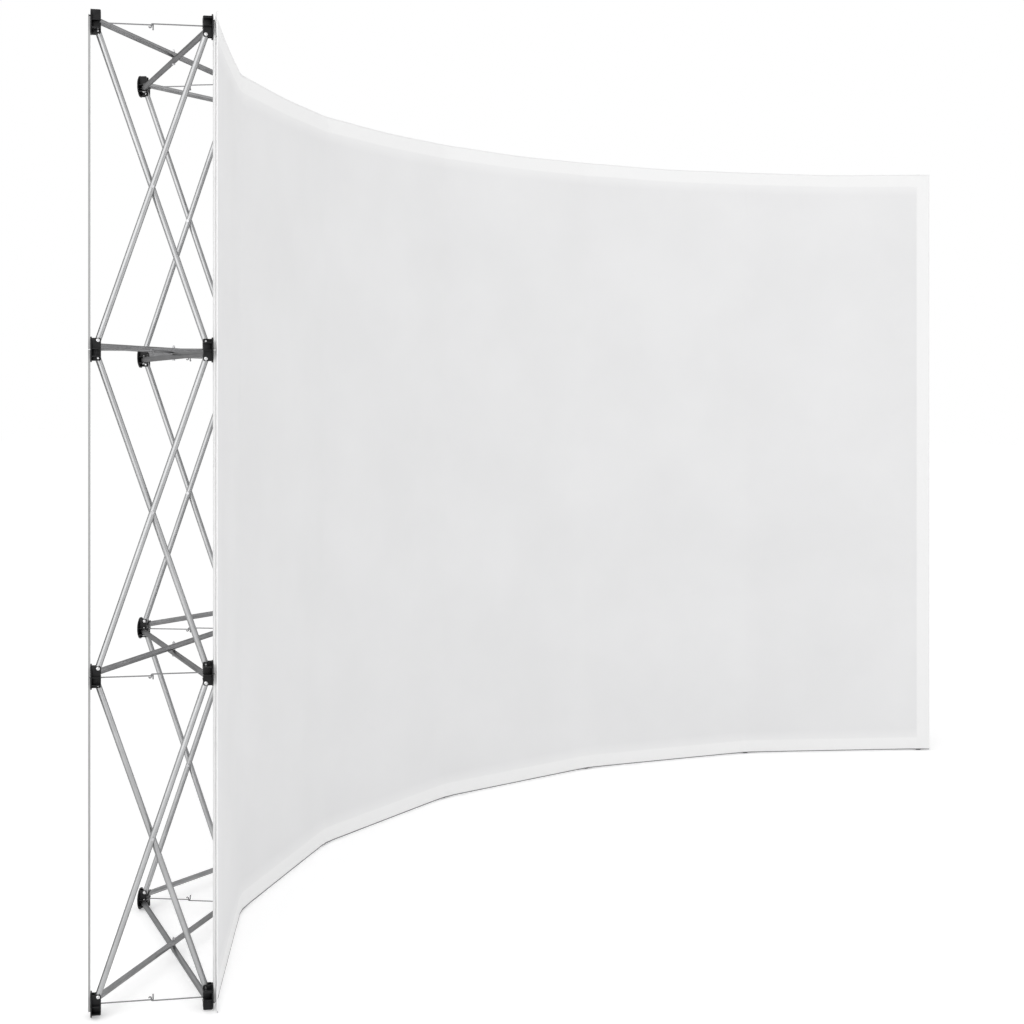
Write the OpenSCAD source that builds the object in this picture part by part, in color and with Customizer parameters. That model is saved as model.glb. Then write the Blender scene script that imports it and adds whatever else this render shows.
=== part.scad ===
// Pop up display backwall: a curved scissor frame with a stretch fabric skin.
// +Z is up, the viewer stands on the -Y side, and the wall bows away towards +Y.
// The origin is on the floor at the middle of the wall's outline. Millimetres.

/* [Wall] */
// Pitch of the hubs, upwards and along the middle of the wall's depth
cell = 736; // [600:1:800]
// Bays along the wall
bays = 6; // [2:1:6]
// Cells from the floor to the top
cells = 3; // [2:1:3]
// Turn of the wall from one column to the next, degrees
bay_turn = 17.5; // [8:0.5:20]
// Depth between the middle planes of the front and rear hubs
wall_depth = 250; // [200:1:300]

/* [Tubes] */
// Outer diameter of the scissor tubes
tube_d = 14; // [12:0.5:14.5]
// Wall of the scissor tubes
tube_wall = 1; // [0.8:0.1:1.6]
// Length of tube past its hub rivet
tube_past = 5.5; // [5:0.1:6]
// Thickness of the cap on each tube end
plug_cap = 1.2; // [0.8:0.1:1.6]
// Depth of the plug inside the tube
plug_depth = 2.6; // [1.5:0.1:2.8]
// Radial clearance of the plug in the tube
plug_gap = 0.1; // [0.05:0.05:0.2]

/* [Hubs] */
// Thickness of a hub from its inner to its outer face
hub_t = 23; // [22:0.5:26]
// Thickness of the hub's face plate
plate_t = 3; // [2.5:0.1:4]
// Half width of the face plate without its tabs
plate_half = 25; // [23:0.5:26]
// Reach of the face plate's tabs from the hub's centre
tab_reach = 28.5; // [26.5:0.5:30]
// Width of a tab at its tip
tab_tip = 12; // [8:0.5:14]
// Width of a tab at its root, where the plate's cut corners start
tab_root = 30; // [22:0.5:36]
// Distance of each tube rivet from the hub's centre
rivet_reach = 20; // [19.5:0.5:21]
// Distance of each tube rivet from the hub's inner face
rivet_in = 6.5; // [6:0.5:8]
// Reach of an ear past its rivet
ear_past = 5.5; // [5:0.5:6]
// Radius of an ear's inner corner
ear_corner = 3; // [1:0.5:5]
// Thickness of the cheeks beside each slot
cheek_t = 2.5; // [2:0.1:3]
// Clearance beside a tube in its slot
slot_gap = 0.4; // [0.3:0.05:0.5]
// Distance of a slot's floor from the hub's centre
slot_floor = 10; // [8:0.5:10.5]

/* [Rivets and pivots] */
// Diameter of the rivets
rivet_d = 4; // [3:0.1:5]
// Radial clearance of rivets and bolts in their holes
pin_gap = 0.1; // [0.05:0.05:0.2]
// Diameter of a rivet's round head
rivet_head_d = 9.5; // [8:0.1:10]
// Height of a rivet's round head
rivet_head_h = 2; // [1.5:0.1:2.5]
// Diameter of a rivet's closed end
rivet_tail_d = 5; // [4.6:0.1:5.2]
// Height of a rivet's closed end
rivet_tail_h = 1.2; // [0.8:0.1:1.5]
// Diameter of the pivot bolts
bolt_d = 4; // [3:0.1:5]
// Diameter of a pivot bolt's head
bolt_head_d = 8; // [7:0.1:9]
// Height of a pivot bolt's head
bolt_head_h = 2.6; // [2:0.1:3]
// Width of a pivot nut over its corners
nut_d = 8; // [7:0.1:9]
// Height of a pivot nut
nut_h = 3.6; // [3:0.1:5]
// Length of bolt past its nut
bolt_past = 3; // [1:0.5:6]
// Diameter of the washer between crossing tubes
spacer_d = 10; // [8:0.5:12]
// Clearance on each side of that washer
spacer_gap = 0.05; // [0.02:0.01:0.1]

/* [Hook rods] */
// Diameter of the hook wire
wire_d = 3; // [2.4:0.1:3.1]
// Swing of a hook rod, degrees
rod_swing = 50; // [30:1:52]
// Depth of a hook rod's hinge pin below the hub's inner face
hinge_in = 3.6; // [3:0.1:4.2]
// Diameter of the hinge pin
hinge_pin_d = 2.4; // [2:0.1:3]
// Radial clearance of the rod's eye on its pin
hinge_gap = 0.08; // [0.04:0.01:0.1]
// Outer diameter of the wound eye
eye_d = 6.6; // [6:0.1:7.5]
// Height of the wound eye
eye_h = 6.4; // [6.3:0.1:6.8]
// Clearance above and below the eye
eye_gap = 0.15; // [0.1:0.05:0.3]
// Clearance round the eye and the swung wire in the hub's pocket
pocket_gap = 0.6; // [0.4:0.1:1]
// Length of hinge pin held in the hub above and below the pocket
pin_grip = 3.2; // [2.5:0.1:4]
// Height between the two wires where they cross
wire_step = 3.3; // [3.1:0.1:3.3]
// Side shift of the rear wire past the front hook
wire_shift = 3.3; // [3.2:0.1:3.7]
// Distance between the front peg and the rear foot that holds it
hook_throat = 4.2; // [4.1:0.1:5.5]
// Radius of the wire's bends, to its middle
bend_r = 2.6; // [2:0.1:3]
// Straight drop of the hook tails below their first bend
tail_drop = 3.6; // [2:0.1:6]
// Straight run of the rear rod's foot below the front wire
foot_run = 1.2; // [0.8:0.1:3]
// Wall left between the eye's hole and the start of its wire
eye_wall = 0.3; // [0.2:0.1:1]

/* [Channel bars] */
// Width of a bar
bar_w = 30; // [26:0.5:34]
// Thickness of a bar
bar_t = 2.5; // [2:0.1:3.5]
// Width of each fastener strip on a bar
strip_w = 9; // [7:0.5:9.5]
// Thickness of a fastener strip
strip_t = 2; // [1.8:0.1:3]
// Gap between a hub and the bar on it
bar_gap = 0.5; // [0.3:0.1:1]
// Gap between the ends of two bars
bar_split = 2; // [1:0.5:4]
// Reach of the end bars past the middle of the last hub
bar_past = 10; // [4:0.5:11]
// Travel that lifts a bar off its studs
bar_lift = 12; // [11:0.5:12.5]
// Height of the studs from the hub's centre
stud_z = 14; // [13.5:0.5:15]
// Diameter of a stud
stud_d = 5; // [4:0.1:6]
// Diameter of a stud's head
stud_head_d = 9; // [8:0.1:9.5]
// Height of a stud's head
stud_head_h = 1.3; // [1:0.1:1.4]
// Clearance round a stud in its keyhole
stud_gap = 0.2; // [0.15:0.05:0.4]
// Clearance round a stud's head where it passes the keyhole
head_gap = 0.5; // [0.3:0.1:0.8]

/* [Fabric] */
// Thickness of the stretched fabric
skin_t = 1.2; // [0.8:0.1:2]
// Thickness of the loop tape sewn behind it
loop_t = 1.5; // [1:0.1:2]
// Gap between a bar's strips and the loop tape
skin_gap = 0.3; // [0.2:0.1:0.6]
// Width of the loop tape along the top and bottom edges
loop_w = 50; // [30:1:60]
// Clearance between the fabric and an upright loop tape
loop_gap = 0.05; // [0.03:0.01:0.1]
// Margin between an upright loop tape and the fabric's turn beside it
loop_side = 0.5; // [0.2:0.1:3]
// Gap between the upright loop tapes and those along the edges
loop_split = 2; // [1:0.5:10]
// Reach of the fabric past the end columns' middle
skin_past = 42; // [34:0.5:50]
// Height of the fabric's top edge above the top hubs' middle
skin_over = 27; // [18:0.5:30]
// Depth of the fabric's bottom edge below the bottom hubs' middle
skin_under = 24; // [14:0.5:26]

/* [Hidden] */
$fn = 24;
// A cut runs this far past the face that it opens
over = 1;

// Places of the columns and levels of hubs
function column_turn(i) = (i - bays / 2) * bay_turn;
function level_z(j) = tab_reach + j * cell;

// Radii of the wall about its centre of curvature
mid_r = cell / (2 * sin(bay_turn / 2));
front_r = mid_r - wall_depth / 2;
rear_r = mid_r + wall_depth / 2;

// A hub's own faces, with its outer face towards +Y
plate_y = hub_t / 2 - plate_t;
rivet_y = rivet_in - hub_t / 2;
hinge_y = hub_t / 2 - hinge_in;
slot_w = tube_d + 2 * slot_gap;
tube_side = slot_w / 2;
tube_r = tube_d / 2;
ear_tip = rivet_reach + ear_past;
rivet_r = rivet_d / 2;
bolt_r = bolt_d / 2;
// Half the thickness of two crossing tubes
pivot_half = tube_side + tube_r;
stud_r = stud_d / 2;
stud_neck = bar_gap + bar_t + stud_gap;

// Planes of the bars and the fabric, measured out from a hub's middle plane
bar_in = hub_t / 2 + bar_gap;
strip_out = bar_in + bar_t + strip_t;
skin_back = strip_out + skin_gap + loop_t;
skin_front = skin_back + skin_t;
skin_low = level_z(0) - skin_under;
skin_high = level_z(cells) + skin_over;

// The fabric lies flat over each bar and turns by half a bay at each bar's edge
edge_turn = bay_turn / 2;
function skin_x(out) = bar_w / 2 - (out - skin_back) * tan(edge_turn / 2);

// The upright loop tapes keep to the flat over each bar
upright_loop_w = 2 * (skin_x(skin_back - loop_t) - loop_side);
upright_loop_z = skin_low + loop_w + loop_split;
upright_loop_h = skin_high + skin_low - 2 * upright_loop_z;

// The wire starts inside the eye's wall, clear of its hole
wire_start = hinge_pin_d / 2 + hinge_gap + eye_wall;
// From a rod's hinge to the middle of the wall's depth
half_span = wall_depth / 2 - hinge_y;

// The outline's middle in Y, so that the origin is at the middle of the floor plan
far_turn = bays % 2 == 0 ? 0 : bay_turn / 2;
stud_tip = hub_t / 2 + stud_neck + stud_head_h;
far_y = (rear_r + stud_tip) * cos(far_turn) + stud_head_d / 2 * sin(far_turn);
end_turn = column_turn(bays);
near_y = (front_r - skin_front) * cos(end_turn) - skin_past * sin(end_turn);
middle_y = (far_y + near_y) / 2;

// A point of a column's own plan, brought into the wall's plan
function to_plan(i, x, y) =
    let (a = column_turn(i))
    [x * cos(a) + y * sin(a), y * cos(a) - x * sin(a) - middle_y];

// Tubes of the upright crosses, in the column's own plane
up_y0 = front_r - rivet_y;
up_y1 = rear_r + rivet_y;
up_rise = cell - 2 * rivet_reach;
up_len = norm([up_y1 - up_y0, up_rise]);
up_lean = atan2(up_y1 - up_y0, up_rise);

// Ends of the level crosses' tubes: rivets on the facing arms of two neighbour columns
function front_arm(i, way) = to_plan(i, way * rivet_reach, up_y0);
function rear_arm(i, way) = to_plan(i, way * rivet_reach, up_y1);
// Share of a level tube, from its front end, at which it crosses its partner
half_front = norm(front_arm(1, -1) - front_arm(0, 1)) / 2;
half_rear = norm(rear_arm(1, -1) - rear_arm(0, 1)) / 2;
cross_share = half_front / (half_front + half_rear);
level_len = norm(rear_arm(1, -1) - front_arm(0, 1));
function level_pivot(rising) = level_len * (rising > 0 ? cross_share : 1 - cross_share);

// Names of one node per column or bay
function each_column(name) = [for (i = [0:bays]) str(name, i)];
function each_bay(name) = [for (i = [0:bays - 1]) str(name, i)];

// ---- Places ----

// A column's own frame: X along the wall, Y out towards its rear
module at_column(i) {
    translate([0, -middle_y, 0])
        rotate([0, 0, -column_turn(i)])
            children();
}

// A hub's own frame, with its outer face towards +Y
module at_hub(i, j, front) {
    at_column(i)
        translate([0, front ? front_r : rear_r, level_z(j)])
            rotate([0, 0, front ? 180 : 0])
                children();
}

// One of a hub's four arms, which point up, right, down and left in its own frame
module at_arm(arm) {
    rotate([0, 90 * arm, 0]) children();
}

// Children run along +Z from one point towards another
module along(from, to) {
    way = to - from;
    translate(from)
        rotate([0, acos(way[2] / norm(way)), atan2(way[1], way[0])])
            children();
}

// Whether a tube ends in a hub's arm
function arm_used(i, j, front, arm) =
    let (right = front ? 3 : 1)
    arm == 0 ? j < cells
    : arm == 2 ? j > 0
    : arm == right ? i < bays
    : i > 0;

// ---- Hubs ----

// The side of an ear: square at the plate and rounded at its inner corner
module ear_side() {
    depth = hub_t - plate_t;
    difference() {
        union() {
            translate([-hub_t / 2, 0]) square([depth, ear_tip - ear_corner]);
            translate([ear_corner - hub_t / 2, 0]) square([depth - ear_corner, ear_tip]);
            translate([ear_corner - hub_t / 2, ear_tip - ear_corner]) circle(r = ear_corner);
        }
        translate([rivet_y, rivet_reach]) circle(r = rivet_r + pin_gap);
    }
}

// A cheek that stands beside a slot, from x on towards +X
module cheek(x) {
    translate([x, 0, 0])
        rotate([90, 0, 90])
            linear_extrude(cheek_t) ear_side();
}

// One arm, with its slot on the -X side of the hub's middle
module hub_arm() {
    cheek(-slot_w - cheek_t);
    cheek(0);
    translate([-slot_w - cheek_t, -hub_t / 2, 0])
        cube([slot_w + 2 * cheek_t, hub_t - plate_t, slot_floor]);
}

// The face plate's outline: cut corners, and a tapered tab at each side
module plate_outline() {
    side = [
        [plate_half, -tab_root / 2], [tab_reach, -tab_tip / 2],
        [tab_reach, tab_tip / 2], [plate_half, tab_root / 2]
    ];
    polygon([
        for (a = [0:90:270], p = side)
            [p[0] * cos(a) - p[1] * sin(a), p[0] * sin(a) + p[1] * cos(a)]
    ]);
}

// A mushroom stud that a bar hangs on
module stud() {
    rotate([-90, 0, 0]) {
        cylinder(r = stud_r, h = stud_neck + over);
        translate([0, 0, stud_neck]) cylinder(d = stud_head_d, h = stud_head_h);
    }
}

// The pocket in the inner face for a hook rod's eye, open to the side where the rod swings
module hinge_pocket() {
    round_eye = eye_d / 2 + pocket_gap;
    beside_wire = wire_shift + wire_d / 2 + pocket_gap;
    corner = beside_wire * [-cos(rod_swing), sin(rod_swing)];
    mouth_y = hinge_y - hub_t / 2 - over;
    mouth_x = corner[0] - (corner[1] - mouth_y) * tan(rod_swing);
    translate([0, -hinge_y, 0]) {
        linear_extrude(eye_h + 2 * eye_gap, center = true)
            polygon([[mouth_x, mouth_y], [round_eye, mouth_y], [round_eye, round_eye], corner]);
        cylinder(d = hinge_pin_d + 2 * pin_gap, h = 2 * (slot_floor + over), center = true);
    }
}

module hub() {
    difference() {
        union() {
            for (arm = [0:3]) at_arm(arm) hub_arm();
            translate([0, hub_t / 2, 0])
                rotate([90, 0, 0]) linear_extrude(plate_t) plate_outline();
        }
        hinge_pocket();
    }
    for (side = [-1, 1])
        translate([0, hub_t / 2, side * stud_z]) stud();
}

module hubs_column(i, front) {
    color([0.12, 0.12, 0.13])
        for (j = [0:cells]) at_hub(i, j, front) hub();
}

// ---- Tubes ----

// A tube that runs along +Z between two rivets, cross drilled along X
module tube(length, pivot) {
    difference() {
        translate([0, 0, -tube_past]) cylinder(r = tube_r, h = length + 2 * tube_past);
        translate([0, 0, -tube_past - over])
            cylinder(r = tube_r - tube_wall, h = length + 2 * (tube_past + over));
        for (z = [0, length])
            translate([0, 0, z])
                rotate([0, 90, 0]) cylinder(r = rivet_r + pin_gap, h = slot_w, center = true);
        translate([0, 0, pivot])
            rotate([0, 90, 0]) cylinder(r = bolt_r + pin_gap, h = slot_w, center = true);
    }
}

// A cap plugged into the tube's end, just short of the rivet at the origin
module plug() {
    translate([0, 0, -tube_past - plug_cap]) {
        cylinder(r = tube_r - tube_wall - plug_gap, h = plug_cap + plug_depth);
        cylinder(r = tube_r, h = plug_cap);
    }
}

// Plugs at both ends of a tube
module plug_pair(length) {
    plug();
    translate([0, 0, length]) rotate([180, 0, 0]) plug();
}

// One upright tube's frame: rising = 1 starts at the front hub, -1 at the rear hub
module at_upright(i, j, rising) {
    at_column(i)
        translate([rising * tube_side, rising > 0 ? up_y0 : up_y1, level_z(j) + rivet_reach])
            rotate([-rising * up_lean, 0, 0])
                children();
}

// One level tube's frame: rising = 1 starts at the front of column i, -1 at its rear
module at_level(i, j, rising) {
    from = rising > 0 ? front_arm(i, 1) : rear_arm(i, 1);
    to = rising > 0 ? rear_arm(i + 1, -1) : front_arm(i + 1, -1);
    z = level_z(j) - rising * tube_side;
    along([from[0], from[1], z], [to[0], to[1], z]) children();
}

module upright_tubes(i) {
    color([0.8, 0.81, 0.82])
        for (j = [0:cells - 1], rising = [-1, 1])
            at_upright(i, j, rising) tube(up_len, up_len / 2);
}

module level_tubes(i) {
    color([0.62, 0.63, 0.64])
        for (j = [0:cells], rising = [-1, 1])
            at_level(i, j, rising) tube(level_len, level_pivot(rising));
}

module tube_end_plugs() {
    color([0.45, 0.46, 0.47]) {
        for (i = [0:bays], j = [0:cells - 1], rising = [-1, 1])
            at_upright(i, j, rising) plug_pair(up_len);
        for (i = [0:bays - 1], j = [0:cells], rising = [-1, 1])
            at_level(i, j, rising) plug_pair(level_len);
    }
}

// ---- Rivets and pivots ----

// A rivet across an arm's slot, head on the outer cheek
module rivet() {
    grip = slot_w + 2 * cheek_t;
    translate([-slot_w - cheek_t, rivet_y, rivet_reach])
        rotate([0, 90, 0]) {
            translate([0, 0, -rivet_head_h]) cylinder(d = rivet_head_d, h = rivet_head_h);
            cylinder(r = rivet_r, h = grip);
            translate([0, 0, grip]) cylinder(d = rivet_tail_d, h = rivet_tail_h);
        }
}

module hub_rivets() {
    color([0.88, 0.88, 0.89])
        for (i = [0:bays], j = [0:cells], front = [true, false], arm = [0:3])
            if (arm_used(i, j, front, arm))
                at_hub(i, j, front) at_arm(arm) rivet();
}

// The middle of a cross, with +X along its bolt and two tubes at +-tube_side
module at_upright_pivot(i, j) {
    at_column(i)
        translate([0, mid_r, level_z(j) + cell / 2])
            children();
}

module at_level_pivot(i, j) {
    from = front_arm(i, 1);
    to = rear_arm(i + 1, -1);
    middle = from + (to - from) * cross_share;
    translate([middle[0], middle[1], level_z(j)])
        rotate([0, -90, 0])
            children();
}

// Every cross's middle
module at_each_pivot() {
    for (i = [0:bays], j = [0:cells - 1]) at_upright_pivot(i, j) children();
    for (i = [0:bays - 1], j = [0:cells]) at_level_pivot(i, j) children();
}

module pivot_bolts() {
    color([0.75, 0.75, 0.76])
        at_each_pivot()
            rotate([0, 90, 0]) {
                translate([0, 0, -pivot_half - bolt_head_h])
                    cylinder(d = bolt_head_d, h = bolt_head_h);
                translate([0, 0, -pivot_half])
                    cylinder(r = bolt_r, h = 2 * pivot_half + nut_h + bolt_past);
            }
}

module pivot_nuts() {
    color([0.7, 0.7, 0.71])
        at_each_pivot()
            translate([pivot_half, 0, 0])
                rotate([0, 90, 0])
                    difference() {
                        cylinder(d = nut_d, h = nut_h, $fn = 6);
                        translate([0, 0, -over])
                            cylinder(r = bolt_r + pin_gap, h = nut_h + 2 * over);
                    }
}

module pivot_spacers() {
    thick = 2 * (slot_gap - spacer_gap);
    color([0.85, 0.85, 0.83])
        at_each_pivot()
            rotate([0, 90, 0])
                difference() {
                    cylinder(d = spacer_d, h = thick, center = true);
                    cylinder(r = bolt_r + pin_gap, h = thick + 2 * over, center = true);
                }
}

// ---- Hook rods ----

// A wire bend of the given angle, from the origin along +Z, turning towards +X
module bend(angle) {
    translate([bend_r, 0, 0])
        rotate([90, 0, 0])
            rotate([0, 0, 180 - angle])
                rotate_extrude(angle = angle, $fn = 48)
                    translate([bend_r, 0]) circle(d = wire_d, $fn = 20);
}

// Moves children to the end of that bend
module after_bend(angle) {
    translate([bend_r * (1 - cos(angle)), 0, bend_r * sin(angle)])
        rotate([0, angle, 0])
            children();
}

module wire(length) {
    cylinder(d = wire_d, h = length, $fn = 20);
}

// A straight run, then a hook's tail: a quarter bend, a drop and a half bend back up
module wire_tail() {
    bend(90);
    after_bend(90) {
        wire(tail_drop);
        translate([0, 0, tail_drop]) rotate([0, 0, 180]) bend(180);
    }
}

module wire_eye() {
    difference() {
        cylinder(d = eye_d, h = eye_h, center = true);
        cylinder(d = hinge_pin_d + 2 * hinge_gap, h = eye_h + 2 * over, center = true);
    }
}

// The front rod in its hinge's frame, along +Y: a peg that drops through the rear rod's foot
module front_rod() {
    peg = half_span + hook_throat / 2 - bend_r;
    wire_eye();
    translate([0, wire_start, wire_step / 2])
        rotate([-90, 0, 0])
            rotate([0, 0, 90]) {
                wire(peg - wire_start);
                translate([0, 0, peg - wire_start]) wire_tail();
            }
}

// The rear rod in its hinge's frame, along -Y: a foot that crosses below the front wire
module rear_rod() {
    foot = half_span + hook_throat / 2 - bend_r;
    wire_eye();
    translate([-wire_shift, 0, -wire_step / 2])
        rotate([90, 0, 0]) {
            wire(foot);
            translate([0, 0, foot]) {
                bend(90);
                after_bend(90) {
                    wire(foot_run);
                    translate([0, 0, foot_run]) rotate([0, 0, -90]) wire_tail();
                }
            }
        }
}

// Tails hang down, and on the lowest level stand up
module at_hinge(i, j, front) {
    at_column(i)
        translate([0, front ? front_r + hinge_y : rear_r - hinge_y, level_z(j)])
            mirror([0, 0, j == 0 ? 1 : 0])
                children();
}

module front_hook_rods(i) {
    color([0.6, 0.6, 0.61])
        for (j = [0:cells]) at_hinge(i, j, true) front_rod();
}

module rear_hook_rods(i) {
    color([0.6, 0.6, 0.61])
        for (j = [0:cells]) at_hinge(i, j, false) rear_rod();
}

module hook_hinge_pins() {
    pin_l = eye_h + 2 * (eye_gap + pin_grip);
    color([0.75, 0.75, 0.76])
        for (i = [0:bays], j = [0:cells], front = [true, false])
            at_hinge(i, j, front) cylinder(d = hinge_pin_d, h = pin_l, center = true);
}

// ---- Channel bars ----

// A keyhole whose narrow top end hangs on a stud at the origin, with room for the stud's head
module keyhole() {
    r = stud_r + stud_gap;
    head_r = stud_head_d / 2 + head_gap;
    rotate([90, 0, 0])
        linear_extrude(2 * hub_t, center = true) {
            circle(r = r);
            translate([-r, -bar_lift]) square([2 * r, bar_lift]);
            translate([0, -bar_lift]) circle(r = head_r);
        }
    translate([-head_r, bar_in + bar_t, -bar_lift])
        cube([2 * head_r, strip_t + over, bar_lift + head_r]);
}

// One bar in a hub's frame, from z0 to z1, with keyholes for the studs at both its hubs
module bar(j, z0, z1) {
    difference() {
        union() {
            translate([-bar_w / 2, bar_in, z0]) cube([bar_w, bar_t, z1 - z0]);
            for (side = [-1, 1])
                translate([side * (bar_w - strip_w) / 2 - strip_w / 2, bar_in, z0])
                    cube([strip_w, bar_t + strip_t, z1 - z0]);
        }
        for (z = [level_z(j) + stud_z, level_z(j + 1) - stud_z])
            translate([0, 0, z]) keyhole();
        if (j == cells - 1)
            translate([0, 0, level_z(cells) + stud_z]) keyhole();
        if (j == 0)
            translate([0, 0, level_z(0) - stud_z]) keyhole();
    }
}

module bars_column(i, front) {
    color([0.78, 0.78, 0.77])
        at_column(i)
            translate([0, front ? front_r : rear_r, 0])
                rotate([0, 0, front ? 180 : 0])
                    for (j = [0:cells - 1]) {
                        low = j == 0 ? level_z(0) - bar_past : level_z(j) + bar_split / 2;
                        high = j == cells - 1
                            ? level_z(cells) + bar_past
                            : level_z(j + 1) - bar_split / 2;
                        bar(j, low, high);
                    }
}

// ---- Fabric ----

// The fabric's line in plan at a distance out from the front hubs' middle plane
function skin_line(out) = [
    for (i = [0:bays], side = [-1, 1])
        let (end = (i == 0 && side < 0) || (i == bays && side > 0))
        to_plan(i, side * (end ? skin_past : skin_x(out)), front_r - out)
];

function reversed(line) = [for (k = [len(line) - 1:-1:0]) line[k]];

// A bent sheet between two distances out from the hubs
module sheet(inner, outer, z0, z1) {
    translate([0, 0, z0])
        linear_extrude(z1 - z0)
            polygon(concat(skin_line(inner), reversed(skin_line(outer))));
}

module fabric_skin() {
    color([0.93, 0.93, 0.94])
        sheet(skin_back, skin_front, skin_low, skin_high);
}

module loop_tape() {
    color([0.96, 0.96, 0.96]) {
        sheet(skin_back - loop_t, skin_back, skin_low, skin_low + loop_w);
        sheet(skin_back - loop_t, skin_back, skin_high - loop_w, skin_high);
        for (i = [0:bays])
            at_column(i)
                translate([-upright_loop_w / 2, front_r - skin_back + loop_gap, upright_loop_z])
                    cube([upright_loop_w, loop_t, upright_loop_h]);
    }
}

// ---- Drawing ----

for (i = [0:bays]) {
    hubs_column(i, true);
    hubs_column(i, false);
    upright_tubes(i);
    front_hook_rods(i);
    rear_hook_rods(i);
    bars_column(i, true);
}
for (i = [0:bays - 1])
    level_tubes(i);
bars_column(0, false);  // rear_bars_left_end
bars_column(bays, false);  // rear_bars_right_end
tube_end_plugs();
hub_rivets();
pivot_bolts();
pivot_nuts();
pivot_spacers();
hook_hinge_pins();
fabric_skin();
loop_tape();
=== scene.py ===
"""Looks of a pop up display backwall: a curved scissor frame under a stretched fabric skin.

The wall stands on the floor at z = 0. The viewer is on the -Y side, and the wall bows
away towards +Y. All lengths are metres, and all angles are degrees unless they say otherwise.
"""

import sys

import logging
import math
from contextlib import contextmanager
from dataclasses import dataclass, field
from enum import Enum
from typing import Callable, Iterator, Sequence

import bmesh
import bpy
import numpy as np
from bpy.types import ID, Material, Mesh, Node, NodeSocket, NodeTree, Object
from mathutils import Euler, Matrix, Vector

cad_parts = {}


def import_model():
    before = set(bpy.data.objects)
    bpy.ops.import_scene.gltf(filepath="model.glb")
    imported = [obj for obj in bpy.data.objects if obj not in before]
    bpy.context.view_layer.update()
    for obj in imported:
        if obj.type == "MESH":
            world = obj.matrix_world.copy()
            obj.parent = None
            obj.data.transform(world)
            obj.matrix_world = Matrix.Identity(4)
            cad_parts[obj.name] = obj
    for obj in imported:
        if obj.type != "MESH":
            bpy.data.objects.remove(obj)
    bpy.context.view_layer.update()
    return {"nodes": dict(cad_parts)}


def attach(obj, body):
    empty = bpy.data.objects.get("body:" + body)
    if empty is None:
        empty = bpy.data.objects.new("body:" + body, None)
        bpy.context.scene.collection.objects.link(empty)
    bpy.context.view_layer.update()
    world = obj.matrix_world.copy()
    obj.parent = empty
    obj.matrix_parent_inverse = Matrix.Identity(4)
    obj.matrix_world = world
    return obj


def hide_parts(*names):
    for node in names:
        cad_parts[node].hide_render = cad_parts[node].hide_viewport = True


LOG = logging.getLogger("backwall")
FRAME_BODY = "frame"
FABRIC_BODY = "fabric"
MM = 0.001
WELD = 0.01 * MM
SHARP = 35.0

Span = tuple[float, float]
Point = tuple[float, float]
Place = tuple[float, float, float]
Colour = tuple[float, float, float]
Ring = tuple[int, ...]
Shape = bmesh.types.BMesh
Socket = NodeSocket
Feed = Socket | float | str | Sequence[float] | Object | Material


# ---------------------------------------------------------------- node graphs


@dataclass(frozen=True)
class Noise:
    """A noise: its cells in each metre, its octaves, and the span of it that counts."""

    per_metre: float
    octaves: float
    span: Span = (0.0, 1.0)


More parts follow.
